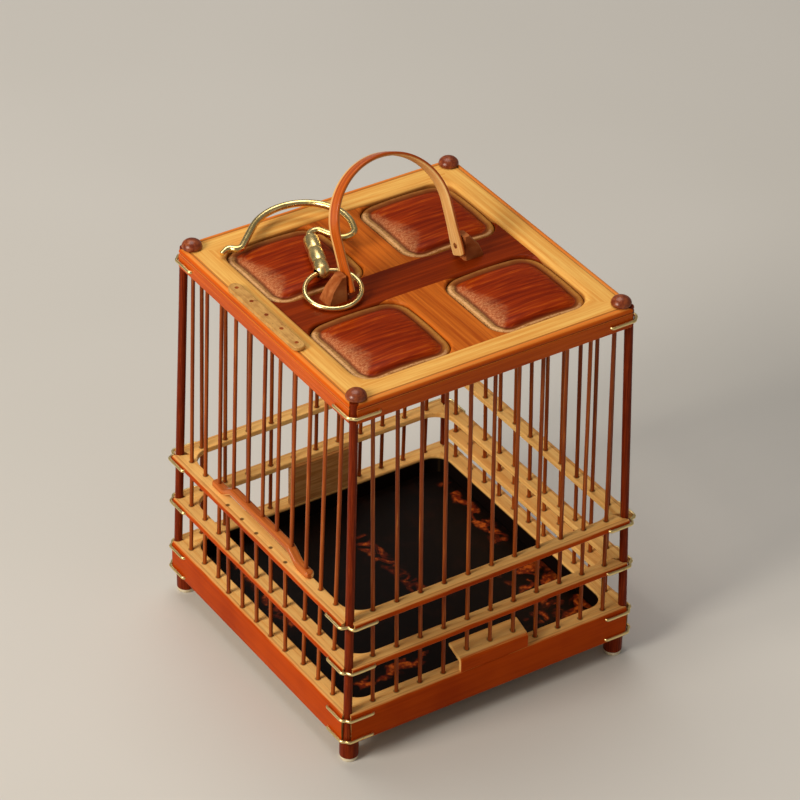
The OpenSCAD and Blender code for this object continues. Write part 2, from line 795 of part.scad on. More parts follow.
module swivel_barrel() {
    bore = stem_d + 2 * turn_gap;
    pocket = button_d + 2 * turn_gap;
    color(brass) difference() {
        on_swivel() translate([0, -eye_up, 0]) rotate([-90, 0, 0]) difference() {
            rotate_extrude() barrel_half();
            translate([0, 0, barrel_l - stem_l]) cylinder(d = bore, h = stem_l + past);
            translate([0, 0, barrel_l - stem_l - turn_gap]) cylinder(d = pocket, h = button_l + 2 * turn_gap);
        }
        translate(ring_at) rotate([0, 0, -ring_turn]) rotate([ring_tilt, 0, 0]) translate(eye_flat)
            rotate([0, 0, eye_at]) rotate([90, 0, 0]) cylinder(d = eye_d, h = 2 * barrel_d, center = true);
    }
}

module hook() {
    color(brass) on_swivel() rotate([0, -hook_roll, 0]) {
        translate([0, stem_from - stem_l, 0]) rotate([-90, 0, 0]) cylinder(d = stem_d, h = stem_l + stem_join);
        translate([0, stem_from - stem_l + button_l, 0]) rotate([90, 0, 0]) cylinder(d = button_d, h = button_l);
        translate([0, stem_from + turn_gap, 0]) rotate([0, 0, 90]) wire_run(hook_steps, hook_r);
    }
}

base_board(front_turn);  // base_board_front
base_board(right_turn);  // base_board_right
base_board(back_turn);  // base_board_back
base_board(left_turn);  // base_board_left
lower_rail(front_turn);  // lower_rail_front
lower_rail(right_turn);  // lower_rail_right
lower_rail(back_turn);  // lower_rail_back
lower_rail(left_turn);  // lower_rail_left
upper_rail(front_turn);  // upper_rail_front
upper_rail(right_turn);  // upper_rail_right
upper_rail(back_turn);  // upper_rail_back
upper_rail(left_turn);  // upper_rail_left
top_frame(front_turn);  // top_frame_front
top_frame(right_turn);  // top_frame_right
top_frame(back_turn);  // top_frame_back
top_frame(left_turn);  // top_frame_left
roof_board();
cross_rail_long();
cross_rail_short(front_turn);  // cross_rail_front
cross_rail_short(back_turn);  // cross_rail_back
roof_panel(left_turn);  // roof_panel_front_left
roof_panel(front_turn);  // roof_panel_front_right
roof_panel(right_turn);  // roof_panel_back_right
roof_panel(back_turn);  // roof_panel_back_left
corner_posts();
corner_beads();
bars(front_turn);  // bars_front
bars(right_turn);  // bars_right
bars(back_turn);  // bars_back
bars(left_turn);  // bars_left
bars_below_door();
top_frame_wires();
upper_rail_wires();
lower_rail_wires();
base_upper_wires();
base_lower_wires();
feet();
foot_tips();
floor_panel();
floor_battens();
feeding_ledge();
feeding_board();
side_strip();
bail_lugs();
bail_pins();
door_arch();
door_bars();
door_handle_strip();
bail();
hook_ring();
swivel_barrel();
hook();
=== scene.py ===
import json
import math

import bmesh
import bpy
from mathutils import Matrix, Vector, noise


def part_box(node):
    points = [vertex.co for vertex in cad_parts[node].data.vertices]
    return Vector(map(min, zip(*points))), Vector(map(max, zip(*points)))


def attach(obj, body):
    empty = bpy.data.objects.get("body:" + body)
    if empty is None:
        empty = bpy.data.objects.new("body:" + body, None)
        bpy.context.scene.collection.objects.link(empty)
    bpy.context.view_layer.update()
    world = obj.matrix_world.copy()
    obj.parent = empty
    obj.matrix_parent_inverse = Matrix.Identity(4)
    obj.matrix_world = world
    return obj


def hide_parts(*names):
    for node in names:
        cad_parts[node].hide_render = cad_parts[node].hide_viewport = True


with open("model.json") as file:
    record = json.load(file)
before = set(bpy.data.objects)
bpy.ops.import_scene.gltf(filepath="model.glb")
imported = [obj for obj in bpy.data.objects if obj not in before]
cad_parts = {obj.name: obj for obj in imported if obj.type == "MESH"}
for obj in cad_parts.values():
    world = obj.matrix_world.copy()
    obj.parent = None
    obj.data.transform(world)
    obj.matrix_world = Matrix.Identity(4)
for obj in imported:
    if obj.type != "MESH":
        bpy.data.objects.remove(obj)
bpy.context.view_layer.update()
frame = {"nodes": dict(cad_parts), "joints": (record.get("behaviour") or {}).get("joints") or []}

mm = 0.001  # pieces are written in millimetres, the camera and the lamps in metres
joints = {joint["name"]: joint for joint in frame["joints"]}


# Levels and widths of the cage, read from the frame

def levels(node):
    low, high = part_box(node)
    return low.z / mm, high.z / mm


def halfWidth(node):
    return -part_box(node)[0].y / mm


def jointAt(name):
    return Vector(joints[name]["pos_m"]) / mm


def jointAxis(name):
    return Vector(joints[name]["axis"]).normalized()


baseZ, rimZ = levels("base_board_front")
lowerZ, lowerTop = levels("lower_rail_front")
upperZ, sillZ = levels("upper_rail_front")
frameZ, topZ = levels("top_frame_front")
seatZ, crossZ = levels("cross_rail_long")
baseHalf = halfWidth("base_board_front")
lowerHalf = halfWidth("lower_rail_front")
upperHalf = halfWidth("upper_rail_front")
topHalf = halfWidth("top_frame_front")
lean = (baseHalf - topHalf) / (topZ - baseZ)

cage = {
    "barInset": 2.3,
    "belowInset": 1.2,  # the short bars under the door, in from the narrowest rail
    "barPitch": 7.3,
    "barCount": 11,
    "barRadius": 0.55,
    "postInset": 1.6,
    "postRadius": 1.15,
    "postGap": 0.06,
}
sides = {  # turn from the front, shift of the bars along the side
    "front": {"turn": 0, "shift": 1.0},
    "right": {"turn": 90, "shift": 0.0},
    "back": {"turn": 180, "shift": 0.0},
    "left": {"turn": 270, "shift": -1.3},
}
doorBars = range(3, 8)  # the bars of the left side that lift with the door
guideBars = (2, 8)  # the bars that the door slides on
belowDoor = min(baseHalf, lowerHalf, upperHalf) - cage["belowInset"]


def leanHalf(z, inset=0.0):
    return baseHalf - inset - (z - baseZ) * lean


def barX(index, side):
    return (index - (cage["barCount"] - 1) / 2) * cage["barPitch"] + sides[side]["shift"]


def sideBars(side):
    return [i for i in range(cage["barCount"]) if side != "left" or i not in doorBars]


def turned(point, degrees):
    return Matrix.Rotation(math.radians(degrees), 3, "Z") @ Vector(point)


def ease(value, low, high):
    t = min(1.0, max(0.0, (value - low) / (high - low)))
    return t * t * (3 - 2 * t)


def wander(point, seed):
    return noise.noise(Vector(point) + Vector((17.3, 5.1, 9.7)) * seed)


# Camera and light

view = {
    "place": (-0.4534, -0.6840, 0.6446),
    "right": (0.8403, -0.5419, 0.0172),
    "up": (0.2979, 0.4880, 0.8204),
    "back": (-0.4530, -0.6842, 0.5715),
    "lens": 171.2,
    "sensor": 36.0,
    "nearest": 0.05,
}
lamps = {  # place, what it looks at, size, watts, colour
    "keyLamp": ((-0.95, -0.06, 0.66), (0, 0, 0.06), 0.50, 10.8, (1.0, 0.92, 0.80)),
    "topLamp": ((0.05, 0.40, 1.15), (0, 0, 0.06), 0.80, 6.0, (1.0, 0.95, 0.88)),
    "frontLamp": ((0.35, -1.10, 0.45), (0, 0, 0.05), 0.80, 0.4, (1.0, 0.95, 0.88)),
}
room = {"light": (1.0, 0.98, 0.96, 1), "strength": 0.18, "floorSize": 6.0}


def addToScene(name, data):
    thing = bpy.data.objects.new(name, data)
    bpy.context.scene.collection.objects.link(thing)
    return thing


def makeCamera():
    lens = bpy.data.cameras.new("photoCamera")
    lens.lens = view["lens"]
    lens.sensor_width = view["sensor"]
    lens.clip_start = view["nearest"]
    camera = addToScene("photoCamera", lens)
    axes = Matrix((view["right"], view["up"], view["back"])).transposed()
    camera.matrix_world = Matrix.Translation(view["place"]) @ axes.to_4x4()
    bpy.context.scene.camera = camera


def makeLamps():
    for name, (place, target, size, watts, colour) in lamps.items():
        lamp = bpy.data.lights.new(name, "AREA")
        lamp.shape = "DISK"
        lamp.size = size
        lamp.energy = watts
        lamp.color = colour
        holder = addToScene(name, lamp)
        holder.location = place
        holder.rotation_euler = (Vector(target) - Vector(place)).to_track_quat("-Z", "Y").to_euler()
    bpy.context.scene.view_settings.view_transform = "Standard"


makeCamera()
makeLamps()
print("camera and lamps set")


# Node maths for the finishes

class Value:  # one socket, so that maths on it adds Math nodes
    def __init__(self, finish, socket):
        self.finish = finish
        self.socket = socket

    def __add__(self, other):
        return self.finish.maths("ADD", self, other)

    def __radd__(self, other):
        return self.finish.maths("ADD", other, self)

    def __sub__(self, other):
        return self.finish.maths("SUBTRACT", self, other)

    def __rsub__(self, other):
        return self.finish.maths("SUBTRACT", other, self)

    def __mul__(self, other):
        return self.finish.maths("MULTIPLY", self, other)

    def __rmul__(self, other):
        return self.finish.maths("MULTIPLY", other, self)

    def __truediv__(self, other):
        return self.finish.maths("DIVIDE", self, other)

    def __pow__(self, other):
        return self.finish.maths("POWER", self, other)

    def __abs__(self):
        return self.finish.maths("ABSOLUTE", self)

    def __neg__(self):
        return self.finish.maths("MULTIPLY", self, -1.0)


def paint(red, green, blue):  # screen colour, 0 to 255, as the linear colour that nodes take
    def linear(part):
        part = part / 255
        return part / 12.92 if part <= 0.04045 else ((part + 0.055) / 1.055) ** 2.4
    return (linear(red), linear(green), linear(blue), 1.0)


class Finish:  # a material, or the studio's world, while it is being put together
    def __init__(self, name, kind="materials"):
        self.material = getattr(bpy.data, kind).new(name)
        self.material.use_nodes = True
        self.tree = self.material.node_tree
        self.tree.nodes.clear()

    def node(self, kind, settings=None, sockets=None, out=0):
        made = self.tree.nodes.new("ShaderNode" + kind)
        for key, value in (settings or {}).items():
            setattr(made, key, value)
        for key, value in (sockets or {}).items():
            if isinstance(value, Value):
                self.tree.links.new(value.socket, made.inputs[key])
            else:
                made.inputs[key].default_value = value
        return Value(self, made.outputs[out]) if len(made.outputs) else None

    def maths(self, operation, *values):
        return self.node("Math", {"operation": operation}, dict(enumerate(values)))

    def least(self, a, b):
        return self.maths("MINIMUM", a, b)

    def most(self, a, b):
        return self.maths("MAXIMUM", a, b)

    def step(self, value, low, high):  # eased 0 to 1 between low and high
        settings = {"interpolation_type": "SMOOTHSTEP"}
        return self.node("MapRange", settings, {"Value": value, "From Min": low, "From Max": high})

    def mix(self, share, first, second):
        return self.node("Mix", {"data_type": "RGBA"}, {0: share, 6: first, 7: second}, 2)

    def place(self):  # where the surface is, in millimetres of the piece's own frame
        spot = self.node("TexCoord", None, None, "Object")
        return self.stretch(spot, (1 / mm, 1 / mm, 1 / mm))

    def grain(self):  # along and across the grain of a bent piece, in millimetres
        return self.node("UVMap", {"uv_map": "grain"})

    def facing(self, axis):  # how far the surface faces along an axis of the piece
        return self.split(self.node("TexCoord", None, None, "Normal"))[axis]

    def split(self, vector):
        parts = self.node("SeparateXYZ", None, {0: vector}).socket.node.outputs
        return [Value(self, part) for part in parts]

    def stretch(self, vector, scale):
        return self.node("VectorMath", {"operation": "MULTIPLY"}, {0: vector, 1: scale})

    def cloud(self, vector, scale, detail=3.0, roughness=0.55, swirl=0.0):
        spot = self.stretch(vector, scale)
        sockets = {"Vector": spot, "Scale": 1.0, "Detail": detail, "Roughness": roughness, "Distortion": swirl}
        return self.node("TexNoise", None, sockets)

    def cells(self, vector, scale):
        return self.node("TexVoronoi", None, {"Vector": self.stretch(vector, scale), "Scale": 1.0})

    def relief(self, height, distance, strength):  # height 0 to 1, distance in millimetres
        return self.node("Bump", None, {"Height": height, "Distance": distance * mm, "Strength": strength})

    def done(self, colour, roughness, normal=None, gloss=0.5, metal=0.0):
        sockets = {"Base Color": colour, "Roughness": roughness, "Specular IOR Level": gloss, "Metallic": metal}
        if normal is not None:
            sockets["Normal"] = normal
        surface = self.node("BsdfPrincipled", None, sockets)
        self.node("OutputMaterial", None, {"Surface": surface})
        return self.material


def makeStudio():
    f = Finish("studio", "worlds")
    light = f.node("Background", None, {"Color": room["light"], "Strength": room["strength"]})
    f.node("OutputWorld", None, {"Surface": light})
    bpy.context.scene.world = f.material


makeStudio()


# Finishes; the noise scales are per millimetre, and gloss is the strength of the reflection

stripLook = {
    "skin": paint(184, 68, 5),
    "skinDeep": paint(156, 50, 2),
    "flesh": paint(252, 200, 120),
    "fleshDark": paint(238, 170, 88),
    "fibre": paint(168, 98, 40),
    "hole": paint(52, 24, 10),
    "worn": paint(232, 156, 78),
    "seam": paint(140, 66, 20),
    "lacquer": paint(16, 9, 7),
    "grain": (0.035, 0.9, 0.9),
    "fibres": (0.12, 5.0, 5.0),
    "patches": (0.05, 0.05, 0.05),
    "band": (0.75, 1.0, 1.35),  # depth on top where the skin ends, where its seam is, where the flesh starts
    "holeFade": (1.05, 0.5),  # distance from a bar's line
    "tipShrink": 0.35,
    "gloss": 0.03,
}


def barHoles(f, spot, side):  # 1 at the bar holes of a rail or board, fading to 0 round them; it places the painted shade round the bars
    look = stripLook
    pitch = cage["barPitch"]
    x, y, z = f.split(spot)
    x = x - sides[side]["shift"]
    along = x / pitch
    near = abs(along - f.maths("ROUND", along)) * pitch
    off = y + leanHalf(0, cage["barInset"]) - z * lean
    tip = 1
    if side == "left":  # the short bars under the door stand further out, and end level with the rail
        doorway = len(doorBars) / 2 * pitch
        middle = f.step(abs(x), doorway + 0.25, doorway - 0.25)
        off = (y + belowDoor) * middle + off * (1 - middle)
        tip = 1 + look["tipShrink"] * middle * f.step(z, sillZ - 0.6, sillZ - 0.3)
    reach = (near * near + off * off) ** 0.5
    return f.step(reach * tip, *look["holeFade"])


def stripFinish(name, side):  # glossy skin on the outside, pale flesh on the other faces
    look = stripLook
    f = Finish(name)
    spot = f.place()
    y, z = f.split(spot)[1:]
    outward = -f.facing(1)
    upward = f.facing(2)
    long = f.cloud(spot, look["grain"], 4.0, 0.6)
    fine = f.cloud(spot, look["fibres"], 2.0, 0.5)
    patch = f.cloud(spot, look["patches"], 2.0)
    skinMask = f.step(outward, 0.30, 0.72)
    skin = f.mix(f.step(long * 0.4 + patch * 0.6, 0.30, 0.62), look["skinDeep"], look["skin"])
    flesh = f.mix(f.step(long, 0.38, 0.80), look["flesh"], look["fleshDark"])
    flesh = f.mix(f.step(fine, 0.56, 0.72) * 0.30, flesh, look["fibre"])
    # painted shade round the bar holes on the top faces, where the bars pass through
    flesh = f.mix(barHoles(f, spot, side) * f.step(abs(upward), 0.5, 0.9) * 0.85, flesh, look["hole"])
    above = f.step(upward, 0.5, 0.9)
    depth = y + baseHalf + (fine - 0.5) * 0.35
    skinEnd, seamAt, fleshStart = look["band"]
    flesh = f.mix(above * f.step(depth, seamAt, skinEnd) * 0.3, flesh, skin)
    seam = f.step(depth, skinEnd, seamAt) * f.step(depth, fleshStart, seamAt)
    flesh = f.mix(above * seam * f.step(long, 0.30, 0.55) * 0.5, flesh, look["seam"])
    colour = f.mix(skinMask, flesh, skin)
    edge = f.step(outward, 0.42, 0.62) * f.step(outward, 0.92, 0.74)
    colour = f.mix(edge * f.step(fine, 0.40, 0.60) * 0.55, colour, look["worn"])
    # the inner faces below the rim are painted near-black
    inside = f.step(outward, -0.3, -0.8) * f.step(z, rimZ - 0.4, rimZ - 1.1)
    colour = f.mix(inside, colour, look["lacquer"])
    rough = 0.54 - skinMask * 0.20 + (long - 0.5) * 0.16
    bump = f.relief(fine * (0.7 - skinMask * 0.5) + long * 0.3, 0.05, 0.5)
    return f.done(colour, rough, bump, look["gloss"])


frameLook = {
    "gold": paint(240, 188, 100),
    "goldDeep": paint(222, 154, 70),
    "face": paint(204, 90, 16),
    "faceDeep": paint(172, 62, 8),
    "shoulder": paint(222, 116, 36),
    # painted shade for the fine grooves
    "groove": paint(128, 60, 20),
    "hollowShade": paint(168, 106, 44),
    "grain": (0.03, 0.8, 0.8),
    "fibres": (0.10, 4.2, 4.2),
    "gloss": 0.08,
}


def frameFinish():  # the top frame: golden above, skin outside, painted shade where it dips into the recesses and in its fine grooves
    look = frameLook
    f = Finish("topFrameBamboo")
    spot = f.place()
    y, z = f.split(spot)[1:]
    depth = y + topHalf
    height = z - frameZ
    sunk = topZ - z
    long = f.cloud(spot, look["grain"], 4.0, 0.6)
    fine = f.cloud(spot, look["fibres"], 2.0)
    tan = f.mix(f.step(long, 0.34, 0.68), look["gold"], look["goldDeep"])
    tan = f.mix(f.step(fine, 0.58, 0.74) * 0.25, tan, look["faceDeep"])
    skin = f.mix(f.step(long, 0.26, 0.66), look["faceDeep"], look["face"])
    skinMask = f.step(-f.facing(1), 0.35, 0.80)
    colour = f.mix(skinMask, tan, skin)
    shoulder = f.step(depth, 1.65, 1.4) * (1 - skinMask)
    colour = f.mix(shoulder * (0.6 + long * 0.4), colour, look["shoulder"])
    # painted shade where the frame's inner edge dips into the recesses
    colour = f.mix(f.step(sunk, 0.2, 0.9) * f.step(depth, 4.2, 4.8) * 0.7, colour, look["hollowShade"])
    # painted shade along the fine grooves on top and on the outer face
    topCut = f.step(depth, 2.05, 1.85) * f.step(depth, 1.35, 1.55) * f.step(sunk, 0.35, 0.3)
    sideCut = f.step(depth, 0.12, 0.35) * f.step(height, 4.0, 4.2) * f.step(height, 4.9, 4.7)
    colour = f.mix(f.most(topCut, sideCut) * 0.5, colour, look["groove"])
    rough = 0.42 - skinMask * 0.16 + (long - 0.5) * 0.2
    bump = f.relief(fine * 0.5 + long * 0.5, 0.06, 0.5)
    return f.done(colour, rough, bump, look["gloss"])


crossLook = {
    # the long rail's colours are darker than the short rails', as painted shade from the bail and hook above it
    "long": {
        "light": paint(140, 48, 6),
        "dark": paint(104, 30, 3),
        "line": paint(80, 24, 4),
        "grain": (0.02, 0.75, 0.5),
        "lines": (0.07, 3.4, 2.0),
    },
    "short": {
        "light": paint(204, 108, 32),
        "dark": paint(164, 74, 16),
        "line": paint(124, 52, 14),
        "grain": (0.75, 0.02, 0.5),
        "lines": (3.4, 0.07, 2.0),
    },
    "hollowShade": paint(104, 46, 14),
    "gloss": 0.06,
}


def crossFinish(name, kind):  # red-brown rails of the roof cross, streaked along their length, with painted shade down their sides; the long rail is painted darker as shade from the bail and hook
    look = crossLook[kind]
    f = Finish(name)
    spot = f.place()
    z = f.split(spot)[2]
    streak = f.cloud(spot, look["grain"], 4.0, 0.62)
    line = f.cloud(spot, look["lines"], 2.0)
    colour = f.mix(f.step(streak, 0.30, 0.70), look["dark"], look["light"])
    colour = f.mix(f.step(line, 0.54, 0.72) * 0.4, colour, look["line"])
    colour = f.mix(f.step(line, 0.42, 0.28) * 0.25, colour, look["light"])
    # painted shade down the rails' sides towards the recesses
    colour = f.mix(f.step(z, crossZ - 0.2, crossZ - 1.4) * 0.75, colour, crossLook["hollowShade"])
    rough = 0.34 + (line - 0.5) * 0.25
    bump = f.relief(line * 0.6 + streak * 0.4, 0.05, 0.45)
    return f.done(colour, rough, bump, crossLook["gloss"])


panelLook = {
    "red": paint(152, 48, 4),
    "deep": paint(112, 27, 2),
    "bright": paint(194, 90, 18),
    "maroon": paint(74, 24, 7),
    "wallLit": paint(192, 140, 84),
    "gold": paint(186, 124, 50),
    "side": paint(150, 90, 36),
    "shade": paint(112, 48, 13),
    "ridgeHighlight": paint(238, 186, 130),
    "rub": paint(202, 134, 88),
    "rubDark": paint(150, 74, 38),
    "dot": paint(104, 60, 26),
    "moatShade": paint(70, 34, 14),
    "grain": (0.045, 0.75, 0.4),
    "lines": (0.10, 3.2, 2.0),
    "ragged": (0.35, 0.35, 0.35),
    "hairs": (1.1, 3.6, 3.6),
    "dots": (1.5, 1.7, 1.7),
    "gloss": 0.06,
}


def panelFinish():  # red-brown swell, with painted shade in its groove and at its foot and a painted highlight on its ridge; the two ends of its grain show cut fibres as dots
    look = panelLook
    f = Finish("panelMahogany")
    spot = f.place()
    x, y, z = f.split(spot)
    streak = f.cloud(spot, look["grain"], 4.0, 0.6, 0.4)
    line = f.cloud(spot, look["lines"])
    ragged = f.cloud(spot, look["ragged"], 3.0, 0.6)
    hairs = f.cloud(spot, look["hairs"], 3.0, 0.65)
    dots = f.step(f.cells(spot, look["dots"]), 0.38, 0.22)
    colour = f.mix(f.step(streak, 0.32, 0.68), look["deep"], look["red"])
    colour = f.mix(f.step(line, 0.55, 0.72) * 0.45, colour, look["deep"])
    colour = f.mix(f.step(streak * line, 0.27, 0.40) * 0.5, colour, look["bright"])
    middle = panelHalf() - panelCorner()
    pastX = abs(x) - middle
    pastY = abs(y) - middle
    reach = (f.most(pastX, 0.0) ** 2 + f.most(pastY, 0.0) ** 2) ** 0.5
    inward = panelCorner() - reach - f.least(f.most(pastX, pastY), 0.0)  # distance in from the rounded edge
    end = f.step(abs(x) - abs(y), -1.2, 1.2)
    first = end * f.step(-x, -2.0, 2.0)  # the -X end, towards the key lamp: rubbed most, and painted paler as the lit end
    near = (1 - end) * f.step(-y, -2.0, 2.0)  # the side towards the front
    stray = (ragged - 0.5) * 0.8
    # pale rubbed zone of worn fibres, kept to the -X end that faces the key lamp, so in part painted light
    rubWide = f.step(-y, -10.0, 6.0) * 4.2 + 2.6
    rubEdge = inward + (ragged - 0.5) * 3.0 + (hairs - 0.5) * 3.0 - 2.5
    rub = f.step(rubEdge / rubWide, 1.0, 0.1) * first
    colour = f.mix(rub * 0.85, colour, f.mix(f.step(hairs, 0.36, 0.66), look["rub"], look["rubDark"]))
    # flange: the -X end a paler wall with cut-fibre dots, painted lit; elsewhere side or end tone with painted
    # shade towards the groove
    flange = f.step(inward + stray * 0.3, 2.5, 2.2)
    frayed = f.mix(dots * 0.7, look["wallLit"], look["dot"])
    plain = f.mix(f.step(inward + stray, 0.4, 2.3), f.mix(end, look["side"], look["gold"]), look["shade"])
    flangeColour = f.mix(first, plain, frayed)
    flangeColour = f.mix(f.step(hairs, 0.45, 0.70) * 0.4, flangeColour, look["dot"])
    colour = f.mix(flange, colour, flangeColour)
    # painted shadow in the groove round the swell, stronger on the -X end and the front side
    groove = f.step(inward, 1.8, 2.3) * f.step(inward + stray, 3.1, 2.5)
    colour = f.mix(groove * (first * 0.4 + near * 0.2 + 0.3), colour, look["maroon"])
    # painted highlight along the flange's ridge, strongest on the -X end and the front side
    ridgeHighlight = f.step(inward + stray * 0.3, 0.35, 0.7) * f.step(inward + stray * 0.5, 1.5, 1.0)
    pale = first * 0.65 + near * 0.45 + 0.06
    colour = f.mix(ridgeHighlight * pale * f.step(hairs, 0.70, 0.45), colour, look["ridgeHighlight"])
    # painted shade at the foot of the panel, in the gap to the frame
    colour = f.mix(f.step(z, seatZ + 1.3, seatZ + 0.2) * 0.85, colour, look["moatShade"])
    rough = 0.36 + f.most(rub, flange) * 0.2 + (line - 0.5) * 0.14
    bump = f.relief(line * 0.4 - dots * flange * end * 0.5 + hairs * rub * 0.4, 0.08, 0.5)
    return f.done(colour, rough, bump, look["gloss"])


handleLook = {
    "tan": paint(206, 156, 84),
    "worn": paint(176, 124, 60),
    "speck": paint(118, 74, 30),
    "grain": (0.10, 1.6, 1.6),
    "scuffs": (0.35, 0.6, 0.6),
    "dirt": (1.1, 1.1, 1.1),
    "gloss": 0.25,
}


def handleFinish():  # the strip that is gripped to lift the door: scuffed, browner than the frame
    look = handleLook
    f = Finish("handleStrip")
    spot = f.place()
    grain = f.cloud(spot, look["grain"], 3.0, 0.6)
    scuff = f.cloud(spot, look["scuffs"], 3.0, 0.6)
    dirt = f.cloud(spot, look["dirt"], 2.0)
    colour = f.mix(f.step(grain * 0.5 + scuff * 0.5, 0.40, 0.62), look["tan"], look["worn"])
    colour = f.mix(f.step(dirt, 0.60, 0.74) * 0.6, colour, look["speck"])
    bump = f.relief(grain * 0.5 + dirt * 0.5, 0.07, 0.5)
    return f.done(colour, 0.46 + (scuff - 0.5) * 0.3, bump, look["gloss"])


darkLook = {
    "post": {"mid": paint(128, 44, 12), "deep": paint(100, 30, 8), "light": paint(150, 66, 24)},
    "bead": {"mid": paint(142, 68, 32), "deep": paint(110, 44, 18), "light": paint(170, 96, 52)},
    "board": {"mid": paint(204, 148, 86), "deep": paint(178, 118, 62), "light": paint(220, 170, 108)},
    "lug": {"mid": paint(172, 100, 54), "deep": paint(144, 74, 34), "light": paint(196, 130, 78)},
    "blots": (0.25, 0.25, 0.25),
}


def darkFinish(name, kind, grain, gloss=0.05):  # posts, beads, feet, lugs and the feeding board
    look = darkLook[kind]
    f = Finish(name)
    spot = f.place()
    streak = f.cloud(spot, grain, 3.0, 0.6)
    blot = f.cloud(spot, darkLook["blots"])
    colour = f.mix(f.step(streak, 0.36, 0.64), look["deep"], look["mid"])
    colour = f.mix(f.step(blot * 0.5 + streak * 0.5, 0.56, 0.70) * 0.6, colour, look["light"])
    return f.done(colour, 0.30 + (streak - 0.5) * 0.2, f.relief(streak, 0.04, 0.4), gloss)


barLook = {
    "mid": paint(166, 80, 26),
    "deep": paint(122, 48, 14),
    "light": paint(212, 136, 62),
    "tones": (0.31, 0.31, 0.004),
    "grain": (3.6, 3.6, 0.06),
    "gloss": 0.14,
}


def barFinish(name):  # split bamboo, each bar with a tone of its own
    look = barLook
    f = Finish(name)
    spot = f.place()
    own = f.cloud(spot, look["tones"], 1.0)
    streak = f.cloud(spot, look["grain"], 3.0, 0.6)
    colour = f.mix(f.step(streak * 0.55 + own * 0.45, 0.36, 0.64), look["deep"], look["mid"])
    colour = f.mix(f.step(streak, 0.58, 0.74) * 0.6, colour, look["light"])
    return f.done(colour, 0.30 + (streak - 0.5) * 0.25, f.relief(streak, 0.04, 0.5), look["gloss"])


bentLook = {
    "skin": paint(202, 98, 26),
    "deep": paint(166, 70, 14),
    "cut": paint(242, 204, 136),
    "cutDark": paint(222, 168, 96),
    "grain": (0.035, 0.9, 1.0),
    "lines": (0.10, 4.0, 1.0),
    "gloss": 0.2,
}


def bentFinish(name, skinFrom, skinTo, share):  # bent strips: skin on one face, paler cut edges
    look = bentLook
    f = Finish(name)
    run = f.grain()
    across = f.split(run)[1]
    streak = f.cloud(run, look["grain"], 4.0, 0.6)
    line = f.cloud(run, look["lines"], 2.0)
    skinMask = f.step(across, skinFrom, skinFrom + 0.4) * f.step(across, skinTo, skinTo - 0.4)
    skin = f.mix(f.step(streak, 0.35, 0.66), look["deep"], look["skin"])
    cut = f.mix(f.step(streak, 0.38, 0.66), look["cutDark"], look["cut"])
    cut = f.mix(f.step(line, 0.55, 0.70) * 0.4, cut, look["deep"])
    colour = f.mix(skinMask * share + 0.1, cut, skin)
    rough = 0.34 - skinMask * 0.08 + (line - 0.5) * 0.2
    bump = f.relief(line * 0.6 + streak * 0.4, 0.05, 0.5)
    return f.done(colour, rough, bump, look["gloss"])


brassLook = {
    "bright": (0.90, 0.69, 0.30, 1),
    "dull": (0.68, 0.49, 0.18, 1),
    "dark": (0.26, 0.17, 0.06, 1),
    "patches": (0.30, 0.30, 0.30),
    "rubs": (1.6, 1.6, 1.6),
}


def brassFinish(name, tarnish, polish):  # brass, browned in patches; polish is its roughness where clean
    look = brassLook
    f = Finish(name)
    spot = f.place()
    patch = f.cloud(spot, look["patches"], 4.0, 0.6)
    rub = f.cloud(spot, look["rubs"], 3.0, 0.6)
    colour = f.mix(f.step(patch, 0.66 - tarnish, 0.80 - tarnish), look["bright"], look["dull"])
    colour = f.mix(f.step(patch * 0.6 + rub * 0.4, 0.60, 0.72) * tarnish, colour, look["dark"])
    rough = f.step(patch, 0.5, 0.8) * polish + (rub - 0.5) * polish * 0.4 + polish
    return f.done(colour, rough, f.relief(rub, 0.01, 0.10), metal=1.0)


boneLook = {
    "pale": paint(236, 226, 200),
    "dark": paint(206, 184, 142),
    "pore": paint(150, 122, 84),
    "rings": (0.8, 0.8, 3.0),
    "pores": (5.0, 5.0, 1.2),
    "gloss": 0.4,
}


def boneFinish():  # the tips of the feet
    look = boneLook
    f = Finish("boneTips")
    spot = f.place()
    ring = f.cloud(spot, look["rings"])
    pore = f.cloud(spot, look["pores"], 2.0)
    colour = f.mix(f.step(ring, 0.35, 0.70), look["pale"], look["dark"])
    colour = f.mix(f.step(pore, 0.62, 0.74) * 0.5, colour, look["pore"])
    return f.done(colour, 0.36 + (ring - 0.5) * 0.2, f.relief(pore, 0.04, 0.4), look["gloss"])


floorLook = {
    "black": paint(13, 7, 5),
    "brown": paint(34, 14, 7),
    "amber": paint(200, 96, 28),
    "red": paint(112, 36, 12),
    "drift": (0.16, 0.16, 0.16),
    "blotches": (0.18, 0.18, 0.18),
    "cores": (0.75, 0.75, 0.75),
    "scratches": (0.15, 4.0, 1.0),
    "stray": 6.0,
    "rows": [  # from, to, half width
        ((3.0, 23.0), (4.0, -4.0), 2.6),
        ((36.5, 32.0), (36.0, 2.0), 2.8),
        ((-31.0, -30.0), (-6.0, -29.0), 2.6),
        ((-33.0, 2.0), (-32.0, 30.0), 2.4),
        ((35.0, -30.0), (33.0, -14.0), 8.0),
        ((8.0, -33.0), (26.0, -31.0), 2.6),
    ],
    "gloss": 0.12,
}


